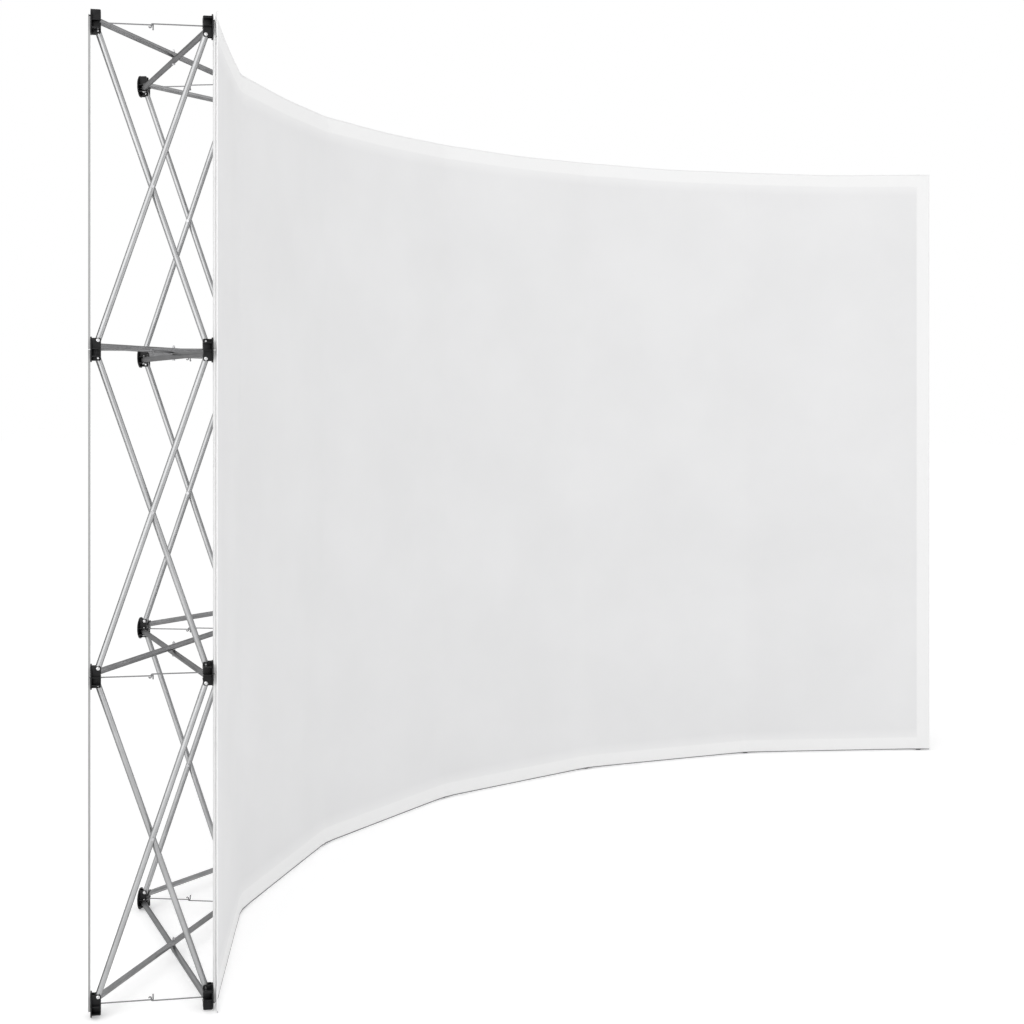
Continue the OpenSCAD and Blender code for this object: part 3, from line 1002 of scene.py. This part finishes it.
class StitchRows(Generator):
    """Lays stitches of one length along each edge chain of a mesh."""

    SIDES = 5
    RINGS = 4

    def __init__(self) -> None:
        """Builds the tree, in which a stitch is a ball one unit across, drawn out to its length."""
        super().__init__("sew_rows")
        graph = self.graph
        pitch, length, thread = (self.size(name) for name in ("Pitch", "Length", "Thread"))
        runs = graph.add("GeometryNodeMeshToCurve", Mesh=self.entry.outputs["Geometry"])
        along = {"mode": "LENGTH"}
        points = graph.add("GeometryNodeCurveToPoints", along, Curve=runs.outputs[0], Length=pitch)
        ball = graph.add("GeometryNodeMeshUVSphere", Segments=self.SIDES, Rings=self.RINGS, Radius=0.5)
        size = graph.add("ShaderNodeCombineXYZ", X=thread, Y=thread, Z=length)
        way = graph.add("FunctionNodeAlignRotationToVector", {"axis": "Z"}, Vector=points.outputs["Tangent"])
        copies = graph.add(
            "GeometryNodeInstanceOnPoints",
            Points=points.outputs[0],
            Instance=ball.outputs[0],
            Rotation=way.outputs[0],
            Scale=size.outputs[0],
        )
        self.finish(copies.outputs[0])


# ---------------------------------------------------------------- the frame's parts


@dataclass
class Hubs:
    """The moulded hubs, with their arms in a pinwheel about the middle."""

    plan: WallPlan
    plate_t: float = 3 * MM
    plate_half: float = 25 * MM
    tab_tip: float = 12 * MM
    tab_root: float = 30 * MM
    ear_past: float = 5.5 * MM
    ear_corner: float = 3 * MM
    ear_steps: int = 5
    root_in: float = 1.0 * MM
    floor_in: float = 1.5 * MM
    slot_floor: float = 10 * MM
    rib_w: float = 1.4 * MM
    rib_low: float = 1 * MM
    rib_high: float = 12 * MM
    rib_from_inner: float = 2.2 * MM
    rib_from_plate: float = 3.4 * MM
    stud_z: float = 14 * MM
    stud_r: float = 2.5 * MM
    stud_neck: float = 3.2 * MM
    stud_head_r: float = 4.5 * MM
    stud_head_h: float = 1.3 * MM
    stud_rim: Point = (0.3 * MM, 0.4 * MM)
    stud_crown: tuple[Point, Point] = ((0.8, 0.2 * MM), (0.4, 0.0))
    stud_sides: int = 16
    hinge_in: float = 3.6 * MM
    pocket_h: float = 6.7 * MM
    round_eye: float = 3.9 * MM
    beside_wire: float = 5.4 * MM
    rod_swing: float = 50.0
    edge: float = 0.45 * MM
    rim: float = 0.5 * MM

    @property
    def slot_w(self) -> float:
        """Width of an arm's slot."""
        return 2 * self.plan.tube_side

    @property
    def inner(self) -> float:
        """Y of the hub's inner face."""
        return -self.plan.hub_t / 2

    @property
    def plate(self) -> float:
        """Y of the face plate's inner side."""
        return self.plan.hub_t / 2 - self.plate_t

    @property
    def cheek_t(self) -> float:
        """Thickness of a cheek."""
        return self.plan.cheek_t

    def cheek_outline(self, root: float) -> list[Point]:
        """Draws the side of an ear in Y and Z: square at the plate and rounded at its inner corner.

        Args:
            root: Where it starts on Z.

        Returns:
            Its corners.
        """
        tip = self.plan.rivet_reach + self.ear_past
        corner = self.ear_corner
        rounded = arc((self.inner + corner, tip - corner), corner, 90, 180, self.ear_steps)
        return [(self.inner, root), (self.plate, root), (self.plate, tip), *rounded]

    def plate_outline(self) -> list[Point]:
        """Draws the face plate in X and Z: cut corners, and a tapered tab at each side.

        Returns:
            Its corners.
        """
        half, root, tip, reach = self.plate_half, self.tab_root / 2, self.tab_tip / 2, self.plan.tab_reach
        side = [(half, -root), (reach, -tip), (reach, tip), (half, root)]
        points: list[Point] = []
        for k in range(4):
            a = math.radians(90 * k)
            across, up = math.cos(a), math.sin(a)
            points += [(x * across - y * up, x * up + y * across) for x, y in side]
        return points

    def add_arm(self, shape: Shape, place: Matrix) -> None:
        """Adds one arm: two cheeks, the floor between them, and ribs.

        Cheeks and floor end inside the cheeks beside them, so that no two faces lie in one plane.

        Args:
            shape: Where to add it.
            place: From the arm's frame to the shape's.
        """
        sideways = place @ Matrix(((0, 0, 1, 0), (1, 0, 0, 0), (0, 1, 0, 0), (0, 0, 0, 1)))
        outer = -self.slot_w - self.cheek_t
        for x, root in ((outer, self.root_in), (0.0, -self.root_in)):
            prism(shape, self.cheek_outline(root), x, x + self.cheek_t, sideways)
        low, high = self.root_in, self.slot_floor
        block = [(self.inner, low), (self.plate, low), (self.plate, high), (self.inner, high)]
        prism(shape, block, -self.slot_w - self.floor_in, self.floor_in, sideways)
        low, high = self.rib_low, self.rib_high
        for y in (self.inner + self.rib_from_inner, self.plate - self.rib_from_plate):
            rib = [(y, low), (y + self.rib_w, low), (y + self.rib_w, high), (y, high)]
            prism(shape, rib, outer - self.rim, outer + self.rim, sideways)

    def add_pocket(self, shape: Shape) -> None:
        """Adds the space for a hook rod's eye, open to the side where the rod swings.

        Args:
            shape: Where to add it.
        """
        hinge = self.inner + self.hinge_in
        mouth = self.inner - self.rim
        turn = math.radians(self.rod_swing)
        corner = (-self.beside_wire * math.cos(turn), hinge + self.beside_wire * math.sin(turn))
        mouth_x = corner[0] - (corner[1] - mouth) * math.tan(turn)
        past = self.round_eye
        outline = [(mouth_x, mouth), (past, mouth), (past, hinge + past), corner]
        prism(shape, outline, -self.pocket_h / 2, self.pocket_h / 2, Matrix.Identity(4))

    def add_studs(self, shape: Shape) -> None:
        """Adds the two mushroom studs that bars hang on.

        Args:
            shape: Where to add them.
        """
        neck, top = self.stud_neck, self.stud_neck + self.stud_head_h
        rim_in, rim_up = self.stud_rim
        profile = [
            (self.stud_r, -self.rim),
            (self.stud_r, neck),
            (self.stud_head_r - rim_in, neck),
            (self.stud_head_r, neck + rim_up),
            *((self.stud_head_r * share, top - down) for share, down in self.stud_crown),
        ]
        for side in (-1, 1):
            outwards = Matrix.Translation((0, self.plan.hub_t / 2, side * self.stud_z))
            turned(shape, profile, self.stud_sides, outwards @ Matrix.Rotation(-math.pi / 2, 4, "X"))

    def add_all(self, shape: Shape) -> None:
        """Adds every part of the hub.

        Args:
            shape: Where to add them.
        """
        for arm in range(4):
            self.add_arm(shape, Matrix.Rotation(math.radians(90 * arm), 4, "Y"))
        upright = Matrix.Rotation(math.pi / 2, 4, "X")
        prism(shape, self.plate_outline(), -self.plan.hub_t / 2, -self.plate, upright)
        self.add_studs(shape)

    def hub(self) -> Mesh:
        """Makes one hub.

        Returns:
            Its mesh in its own frame, with softened edges.
        """
        whole = soften(mesh_from("hub", self.add_all), self.edge)
        mesh = carved(whole, mesh_from("pocket", self.add_pocket))
        smooth(mesh)
        return mesh

    def build(self, scatter: Scatter) -> list[Object]:
        """Sets the front and the rear hubs.

        Args:
            scatter: What sets them.

        Returns:
            One piece for each side.
        """
        made = []
        for front, side in ((True, "front"), (False, "rear")):
            places = [self.plan.hub(*which) for which in self.plan.hubs() if which[2] == front]
            piece = scatter.set(f"{side}_hubs", self.hub(), places, Finishes.HUB)
            nodes = [f"{side}_hubs_column_{i}" for i in range(self.plan.bays + 1)]
            made.append(dress(piece, Finishes.HUB, FRAME_BODY, nodes))
        return made


@dataclass
class Tubes:
    """The drawn scissor tubes."""

    plan: WallPlan
    radius: float = 7 * MM
    past: float = 5.5 * MM
    sides: int = 32

    def runs(self, ends: Iterator[tuple[Vector, Vector]]) -> Mesh:
        """Draws one edge for each tube, a little past its rivets.

        Args:
            ends: Both rivets of each tube.

        Returns:
            The edges.
        """
        corners: list[Vector] = []
        for start, end in ends:
            way = (end - start).normalized() * self.past
            corners += [start - way, end + way]
        return mesh_of("runs", corners, [(k, k + 1) for k in range(0, len(corners), 2)])

    def build(self, sweep: SweptTubes) -> list[Object]:
        """Sweeps the upright and the level tubes.

        Args:
            sweep: What sweeps them.

        Returns:
            One piece for each kind.
        """
        plan = self.plan
        groups = (
            ("upright", plan.upright_tubes(), Finishes.UPRIGHT, "column", plan.bays + 1),
            ("level", plan.level_tubes(), Finishes.LEVEL, "bay", plan.bays),
        )
        made = []
        for kind, ends, finish, run, count in groups:
            name = f"{kind}_tubes"
            values = {"Radius": self.radius, "Sides": self.sides, "Finish": finish.material()}
            piece = sweep.run(name, self.runs(ends), values)
            smooth(piece.data)
            nodes = [f"{name}_{run}_{i}" for i in range(count)]
            made.append(dress(piece, finish, FRAME_BODY, nodes))
        return made


@dataclass
class Rivets:
    """The domed rivets through the hubs' arms.

    dent and dome are shares of the dimple's radius or the head's, and of the head's height.
    """

    plan: WallPlan
    head_r: float = 4.75 * MM
    head_h: float = 2.0 * MM
    shank_r: float = 2.0 * MM
    tail_r: float = 2.5 * MM
    tail_h: float = 1.2 * MM
    dimple: float = 1.6 * MM
    dent: tuple[Point, ...] = ((0.7, 0.25), (1.0, 0.9), (1.3, 1.0))
    dome: tuple[Point, ...] = ((0.62, 0.84), (0.92, 0.42))
    tail_end: float = 0.85
    tail_middle: float = 0.6
    sides: int = 14
    sharp: float = 50.0

    def rivet(self) -> Mesh:
        """Makes one rivet.

        Returns:
            Its mesh in its arm's frame, with its head on the outer cheek.
        """
        plan = self.plan
        grip = 2 * plan.tube_side + 2 * plan.cheek_t
        profile = [
            *((self.dimple * wide, -self.head_h * high) for wide, high in self.dent),
            *((self.head_r * wide, -self.head_h * high) for wide, high in self.dome),
            (self.head_r, 0.0),
            (self.shank_r, 0.0),
            (self.shank_r, grip),
            (self.tail_r, grip),
            (self.tail_r * self.tail_end, grip + self.tail_h),
            (self.shank_r * self.tail_middle, grip + self.tail_h),
        ]
        head = (-2 * plan.tube_side - plan.cheek_t, plan.rivet_in - plan.hub_t / 2, plan.rivet_reach)
        place = Matrix.Translation(head) @ Matrix.Rotation(math.pi / 2, 4, "Y")
        mesh = mesh_from("rivet", lambda shape: turned(shape, profile, self.sides, place))
        smooth(mesh, self.sharp)
        return mesh

    def build(self, scatter: Scatter) -> Object:
        """Sets a rivet through every arm in use.

        Args:
            scatter: What sets them.

        Returns:
            The piece.
        """
        places = [self.plan.arm(*which) for which in self.plan.arms_in_use()]
        piece = scatter.set("rivets", self.rivet(), places, Finishes.RIVET)
        return dress(piece, Finishes.RIVET, FRAME_BODY, ["hub_rivets"])


@dataclass
class CarriedOver:
    """Solids that keep their shape and only get a finish, by how their names start."""

    finishes: dict[str, Finishes] = field(
        default_factory=lambda: {
            "tube_end_plugs": Finishes.CAP,
            "pivot_spacers": Finishes.WASHER,
            "pivot_bolts": Finishes.BOLT,
            "pivot_nuts": Finishes.BOLT,
            "hook_hinge_pins": Finishes.BOLT,
            "front_hook_rods": Finishes.WIRE,
            "rear_hook_rods": Finishes.WIRE,
            "front_bars": Finishes.BAR,
            "rear_bars": Finishes.REAR_BAR,
        }
    )

    def build(self, nodes: dict[str, Object]) -> None:
        """Dresses the solids.

        Args:
            nodes: Every solid by its name.
        """
        for name, solid in nodes.items():
            for start, finish in self.finishes.items():
                if name.startswith(start):
                    solid.data.materials.clear()
                    solid.data.materials.append(finish.material())
                    LOG.info("%s wears %s", name, finish.value.name)


# ---------------------------------------------------------------- the fabric


def shell_faces(rows: int, count: int) -> list[Ring]:
    """Joins two grids of points, the front's first, into a closed shell.

    Args:
        rows: Rows of a grid.
        count: Points in a row.

    Returns:
        The faces, by point numbers.
    """
    faces: list[Ring] = []
    offset = rows * count
    for r in range(rows - 1):
        for c in range(count - 1):
            a = r * count + c
            faces.append((a, a + 1, a + count + 1, a + count))
            faces.append((offset + a, offset + a + count, offset + a + count + 1, offset + a + 1))
    rim = list(range(count))
    rim += [r * count + count - 1 for r in range(1, rows)]
    rim += [(rows - 1) * count + c for c in range(count - 2, -1, -1)]
    rim += [r * count for r in range(rows - 2, 0, -1)]
    for a, b in zip(rim, rim[1:] + rim[:1]):
        faces.append((b, a, offset + a, offset + b))
    return faces


def trimmed(values: np.ndarray, span: Span) -> np.ndarray:
    """Returns the values well inside a span, and its two ends."""
    inside = (values > span[0] + StretchSkin.NEAR) & (values < span[1] - StretchSkin.NEAR)
    return np.concatenate([[span[0]], values[inside], [span[1]]])


@dataclass(frozen=True)
class Drape:
    """How far the cloth stands proud of its flat panels.

    Folds fan out from both ends of each column, and broad swells lie between the columns.
    """

    pull: float = 1.3 * MM
    fan_up: float = 160 * MM
    fan_side: float = 120 * MM
    fan_power: float = 1.2
    fan_source: float = 50 * MM
    folds: int = 7
    fold_shift: float = 1.3
    over_bar: float = 20 * MM
    drift: float = 0.5 * MM
    swell: tuple[float, float, float] = (5.1, 1.7, 2.3)
    cross_swell: tuple[float, float, float] = (0.6, 4.7, 1.9)
    beside_bar: float = 80 * MM

    def fans(self, off: np.ndarray, up: np.ndarray, column: int) -> np.ndarray:
        """Shapes the folds at one end of a column.

        Args:
            off: Distance of each point from the column, along the wall.
            up: Its distance from the column's end.
            column: The column's number.

        Returns:
            Distance towards the viewer.
        """
        fan = np.exp(-((up / self.fan_up) ** self.fan_power)) * np.exp(-((np.abs(off) / self.fan_side) ** 2))
        angle = np.arctan2(off, up + self.fan_source)
        folds = 0.5 + 0.5 * np.cos(angle * (self.folds + column % 3) + self.fold_shift * column)
        return self.pull * fan * folds * np.clip(np.abs(off) / self.over_bar, 0, 1)

    def swells(self, u: np.ndarray, z: np.ndarray, columns: np.ndarray) -> np.ndarray:
        """Shapes the broad swells, which are flat at each column.

        Args:
            u: Run along the wall of each point.
            z: Its height.
            columns: Run of each column.

        Returns:
            Distance towards the viewer.
        """
        along, bend, bend_up = self.swell
        share, up, across = self.cross_swell
        broad = np.sin(u * along + bend * np.sin(z * bend_up)) + share * np.sin(z * up + u * across)
        between = np.ones_like(u)
        for column in columns:
            between *= 1 - np.exp(-(((u - column) / self.beside_bar) ** 2))
        return self.drift * (broad + 1 + share) / 2 * between


@dataclass
class StretchSkin:
    """The stretched fabric: flat over each bar, turning at the bars' edges."""

    MAP = "cloth_map"
    BORDER = "border"
    NEAR = 0.1 * MM
    HAIR = 1e-9

    plan: WallPlan
    drape: Drape = Drape()
    turn_spread: float = 24 * MM
    hem: float = 50 * MM
    hem_rows: int = 9
    middle_rows: int = 66
    coarse: float = 26 * MM
    fine: float = 4 * MM
    fine_steps: int = 3
    finest_share: int = 4
    spreads_away: int = 6
    dark_edge_t: float = 0.25 * MM
    dark_edge_h: float = 2.6 * MM
    dip: float = 5 * MM
    dip_fade: float = 180 * MM
    border_fade: float = 2 * MM
    seam_in: float = 3 * MM
    stitch_pitch: float = 4.5 * MM
    stitch: float = 3.2 * MM
    thread: float = 0.45 * MM
    thread_out: float = 0.05 * MM

    def corners(self) -> tuple[np.ndarray, np.ndarray]:
        """Finds the corners of the skin's front line in plan, before they are rounded.

        Returns:
            The corners, two for each column, and the run to each.
        """
        plan = self.plan
        out = plan.skin_back + plan.skin_t
        half = plan.bar_w / 2 - plan.skin_t * math.tan(math.radians(plan.bay_turn / 4))
        points = []
        for i in range(plan.bays + 1):
            for side in (-1, 1):
                end = (i == 0 and side < 0) or (i == plan.bays and side > 0)
                x = side * (plan.skin_past if end else half)
                points.append((plan.column(i) @ Vector((x, plan.front_r - out, 0))).to_2d())
        corners = np.array(points)
        lengths = np.linalg.norm(np.diff(corners, axis=0), axis=1)
        return corners, np.concatenate([[0.0], np.cumsum(lengths)])

    def stations(self, stops: np.ndarray) -> np.ndarray:
        """Spaces out stations along the front line, closer together by its corners.

        Args:
            stops: Run to each corner.

        Returns:
            Run to each station.
        """
        runs = [0.0]
        while runs[-1] < stops[-1] - self.HAIR:
            near = np.min(np.abs(stops - runs[-1]))
            wide = min(self.coarse, self.fine + near / self.fine_steps)
            step = self.fine if near < self.fine_steps * self.fine else wide
            runs.append(min(runs[-1] + step, stops[-1]))
        return np.array(runs)

    def line(self) -> tuple[np.ndarray, np.ndarray, np.ndarray]:
        """Rounds the front line's corners.

        Returns:
            The stations' runs, their plan points and their normals.
        """
        corners, stops = self.corners()
        u = self.stations(stops)
        reach = self.spreads_away * self.turn_spread
        step = self.fine / self.finest_share
        dense = np.arange(-reach, stops[-1] + reach, step)
        window = np.arange(-reach / 2, reach / 2 + self.HAIR, step)
        weights = np.exp(-((window / self.turn_spread) ** 2) / 2)
        weights /= weights.sum()
        soft = np.zeros((len(u), 2))
        for k in (0, 1):
            straight = np.interp(dense, stops, corners[:, k])
            first = (corners[1, k] - corners[0, k]) / stops[1]
            last = (corners[-1, k] - corners[-2, k]) / (stops[-1] - stops[-2])
            straight += np.minimum(dense, 0) * first + np.maximum(dense - stops[-1], 0) * last
            soft[:, k] = np.interp(u, dense, np.convolve(straight, weights, mode="same"))
        along = np.gradient(soft, u, axis=0)
        along /= np.linalg.norm(along, axis=1, keepdims=True)
        return u, soft, np.stack([along[:, 1], -along[:, 0]], axis=1)

    def column_runs(self) -> np.ndarray:
        """Finds where the front line crosses the columns.

        Returns:
            Run to each column.
        """
        _, stops = self.corners()
        middles = (stops[0::2] + stops[1::2]) / 2
        middles[0] = self.plan.skin_past
        middles[-1] = stops[-1] - self.plan.skin_past
        return middles

    def rows(self) -> np.ndarray:
        """Spaces out the skin's rows, closer together by its edges.

        Returns:
            Their heights.
        """
        low = self.plan.level(0) - self.plan.skin_under
        high = self.plan.level(self.plan.cells) + self.plan.skin_over
        edge = np.arange(0, self.hem + self.HAIR, self.hem / self.hem_rows)
        middle = np.linspace(low + self.hem, high - self.hem, self.middle_rows)[1:-1]
        return np.concatenate([low + edge, middle, np.flip(high - edge)])

    def relief(self, u: np.ndarray, z: np.ndarray) -> np.ndarray:
        """Shapes the folds and swells.

        Args:
            u: Run along the wall of each point.
            z: Height of each point.

        Returns:
            Distance towards the viewer, never below zero.
        """
        _, _, low, high = self.extent()
        columns = self.column_runs()
        proud = np.zeros_like(u)
        for k, column in enumerate(columns):
            for up in (z - low, high - z):
                proud += self.drape.fans(u - column, np.maximum(up, 0.0), k)
        return proud + self.drape.swells(u, z, columns)

    def sag(self, u: np.ndarray, under: np.ndarray) -> np.ndarray:
        """Shapes the cloth's hang between two columns.

        Args:
            u: Run along the wall of each point.
            under: Its distance below the top edge.

        Returns:
            Distance downwards, none at a column and far below the top.
        """
        columns = self.column_runs()
        share = np.interp(u, columns, np.arange(len(columns), dtype=float)) % 1.0
        return self.dip * np.sin(np.pi * share) ** 2 * np.exp(-under / self.dip_fade)

    def surface(self, lift: float, runs: Span, heights: Span) -> tuple[np.ndarray, np.ndarray, np.ndarray]:
        """Lays a grid on the skin.

        Args:
            lift: Distance of the grid behind the skin's front.
            runs: Where the grid starts and ends along the wall.
            heights: Where it starts and ends upwards.

        Returns:
            Points as rows by stations by 3, the stations' runs and the rows' heights.
        """
        u, track, normals = self.line()
        z = self.rows()
        uu, zz = trimmed(u, runs), trimmed(z, heights)
        grid_u, grid_z = np.meshgrid(uu, zz)
        out = self.relief(grid_u, grid_z) - lift
        flat = [
            np.interp(uu, u, track[:, k])[None, :] + np.interp(uu, u, normals[:, k])[None, :] * out
            for k in (0, 1)
        ]
        sagged = grid_z - self.sag(grid_u, float(z[-1]) - grid_z)
        return np.stack([*flat, sagged], axis=2), uu, zz

    def extent(self) -> tuple[float, float, float, float]:
        """Measures the skin.

        Returns:
            Its first and last run and its lowest and highest row.
        """
        _, stops = self.corners()
        z = self.rows()
        return 0.0, float(stops[-1]), float(z[0]), float(z[-1])

    def shell(self, name: str, lift: float, thick: float, runs: Span, heights: Span) -> Object:
        """Makes a closed shell on the skin.

        Args:
            name: Name of the piece.
            lift: Distance of its front behind the skin's front.
            thick: Its thickness.
            runs: Where it starts and ends along the wall.
            heights: Where it starts and ends upwards.

        Returns:
            The piece, with its map in metres.
        """
        front, uu, zz = self.surface(lift, runs, heights)
        back, _, _ = self.surface(lift + thick, runs, heights)
        verts = np.concatenate([front.reshape(-1, 3), back.reshape(-1, 3)])
        mesh = mesh_of(name, verts.tolist(), faces=shell_faces(*front.shape[:2]))
        mesh.shade_smooth()
        flat_u, flat_z = np.meshgrid(uu, zz)
        flat = np.tile(np.stack([flat_u.ravel(), flat_z.ravel()], axis=1), (2, 1))
        corners = np.zeros(len(mesh.loops), dtype=np.int32)
        mesh.loops.foreach_get("vertex_index", corners)
        mesh.uv_layers.new(name=self.MAP).data.foreach_set("uv", flat[corners].astype(np.float32).ravel())
        first, last, low, high = self.extent()
        from_sides = np.minimum(flat[:, 0] - first, last - flat[:, 0])
        from_ends = np.minimum(flat[:, 1] - low, high - flat[:, 1])
        inside = np.minimum(from_sides, from_ends)
        border = np.clip((self.hem - inside) / self.border_fade + 0.5, 0, 1).astype(np.float32)
        mesh.attributes.new(self.BORDER, "FLOAT", "POINT").data.foreach_set("value", border)
        return in_scene(name, mesh)

    def seams(self, insets: Sequence[float]) -> Mesh:
        """Draws the seams on the skin's front, each a line all round.

        Args:
            insets: Distance of each seam from the skin's edge.

        Returns:
            Chains of edges.
        """
        first, last, low, high = self.extent()
        verts: list[list[float]] = []
        edges: list[Ring] = []
        for inset in insets:
            sides = (first + inset, last - inset), (low + inset, high - inset)
            grid, _, _ = self.surface(-self.thread_out, *sides)
            for chain in (grid[0], grid[-1], grid[:, 0], grid[:, -1]):
                start = len(verts)
                verts += chain.tolist()
                edges += [(start + k, start + k + 1) for k in range(len(chain) - 1)]
        return mesh_of("seams", verts, edges)

    def stitches(self, sew: StitchRows) -> Object:
        """Sews the seams along both sides of the hem.

        Args:
            sew: What sews them.

        Returns:
            The piece.
        """
        values = {
            "Pitch": self.stitch_pitch,
            "Length": self.stitch,
            "Thread": self.thread,
            "Finish": Finishes.THREAD.material(),
        }
        stitches = sew.run("hem_stitches", self.seams((self.seam_in, self.hem - self.seam_in)), values)
        stitches.data.shade_smooth()
        return dress(stitches, Finishes.THREAD, FABRIC_BODY)

    def dark_edge(self) -> Object:
        """Wraps the lower edge in a thin dark strip.

        Returns:
            The piece.
        """
        first, last, low, _ = self.extent()
        thick = self.plan.skin_t + 2 * self.dark_edge_t
        heights = (low - self.dark_edge_t, low + self.dark_edge_h)
        edge = self.shell("edge_binding", -self.dark_edge_t, thick, (first, last), heights)
        return dress(edge, Finishes.DARK_EDGE, FABRIC_BODY)

    def build(self, sew: StitchRows) -> Object:
        """Makes the skin with its stitches and tapes.

        Args:
            sew: What sews the stitches.

        Returns:
            The skin.
        """
        first, last, low, high = self.extent()
        tapes = LoopTape(self).build()
        skin = self.shell("stretch_skin", 0.0, self.plan.skin_t, (first, last), (low, high))
        dress(skin, Finishes.SKIN, FABRIC_BODY, ["fabric_skin"])
        sewn = [self.stitches(sew), tapes, self.dark_edge()]
        return skin


@dataclass
class LoopTape:
    """The loop tape sewn behind the fabric, along its edges and over each bar."""

    skin: StretchSkin
    gap: float = 0.02 * MM
    thick: float = 1.4 * MM
    band: float = 50 * MM
    upright: float = 28 * MM
    split: float = 2 * MM

    def build(self) -> Object:
        """Makes the two bands and the uprights as one piece.

        Returns:
            The piece.
        """
        first, last, low, high = self.skin.extent()
        cuts = [((first, last), (low, low + self.band)), ((first, last), (high - self.band, high))]
        between = (low + self.band + self.split, high - self.band - self.split)
        for run in self.skin.column_runs():
            cuts.append(((run - self.upright / 2, run + self.upright / 2), between))
        mesh = bpy.data.meshes.new("loop_tapes")
        with edited(mesh) as shape:
            for runs, heights in cuts:
                part = self.skin.shell("band", self.skin.plan.skin_t + self.gap, self.thick, runs, heights)
                shape.from_mesh(part.data)
                bpy.data.objects.remove(part)
        tape = in_scene("loop_tapes", mesh)
        return dress(tape, Finishes.LOOP, FABRIC_BODY, ["loop_tape"])


# ---------------------------------------------------------------- the studio


@dataclass(frozen=True)
class Lamp:
    """A soft square lamp, turned to a point."""

    name: str
    place: Place
    aim: Place
    watts: float
    side: float = 4.0

    def hang(self) -> None:
        """Hangs the lamp in the scene."""
        data = bpy.data.lights.new(self.name, "AREA")
        data.shape = "RECTANGLE"
        data.size = self.side
        data.size_y = self.side
        data.energy = self.watts
        lamp = in_scene(self.name, data)
        lamp.location = self.place
        way = Vector(self.aim) - Vector(self.place)
        lamp.rotation_euler = way.to_track_quat("-Z", "Y").to_euler()


@dataclass
class Studio:
    """Floor, lights, world and camera."""

    plan: WallPlan
    floor_half: float = 40.0
    world_light: float = 0.84
    lamps: tuple[Lamp, ...] = (
        Lamp("key", (-4.6, -1.2, 2.3), (0, 0.2, 1.1), 60),
        Lamp("fill", (2.0, -5.5, 1.8), (0, 0.4, 1.1), 42),
    )
    camera_from_centre: Place = (-4.2685, -1.4767, 1.3982)
    camera_turn: float = -48.68
    lens: float = 57.64
    sensor: float = 36.0
    shift: Point = (0.0650, -0.1144)
    sight: float = 100.0

    def floor(self) -> None:
        """Lays the floor."""
        half = self.floor_half
        corners = [(-half, -half, 0), (half, -half, 0), (half, half, 0), (-half, half, 0)]
        floor = in_scene("floor", mesh_of("floor", corners, faces=[(0, 1, 2, 3)]))
        floor.data.materials.append(Finishes.FLOOR.material())

    def world(self) -> None:
        """Sets an even pale world, which eye and metal see as white."""
        world = bpy.data.worlds.new("studio")
        bpy.context.scene.world = world
        world.use_nodes = True
        graph = Graph(world.node_tree)
        strength = graph.ramp(graph.seen(), (0.0, 1.0), (self.world_light, 1.0))
        light = graph.add("ShaderNodeBackground", Color=(1, 1, 1, 1), Strength=strength)
        graph.add("ShaderNodeOutputWorld", Surface=light.outputs[0])

    def camera(self) -> None:
        """Sets the camera where the photograph was taken from."""
        data = bpy.data.cameras.new("camera")
        data.lens = self.lens
        data.sensor_width = self.sensor
        data.shift_x, data.shift_y = self.shift
        data.clip_end = self.sight
        camera = in_scene("camera", data)
        x, y, z = self.camera_from_centre
        camera.location = (x, y - self.plan.middle_y, z)
        camera.rotation_euler = Euler((math.pi / 2, 0.0, math.radians(self.camera_turn)))
        bpy.context.scene.camera = camera

    def build(self) -> None:
        """Sets up the whole studio."""
        self.floor()
        self.world()
        for lamp in self.lamps:
            lamp.hang()
        self.camera()
        bpy.context.scene.view_settings.view_transform = "Standard"


def main() -> None:
    """Builds the wall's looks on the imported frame."""
    logging.basicConfig(level=logging.INFO, format="%(message)s", stream=sys.stdout)
    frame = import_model()
    plan = WallPlan()
    scatter = Scatter()
    Studio(plan).build()
    Hubs(plan).build(scatter)
    Tubes(plan).build(SweptTubes())
    Rivets(plan).build(scatter)
    CarriedOver().build(frame["nodes"])
    StretchSkin(plan).build(StitchRows())


if __name__ == "__main__":
    main()
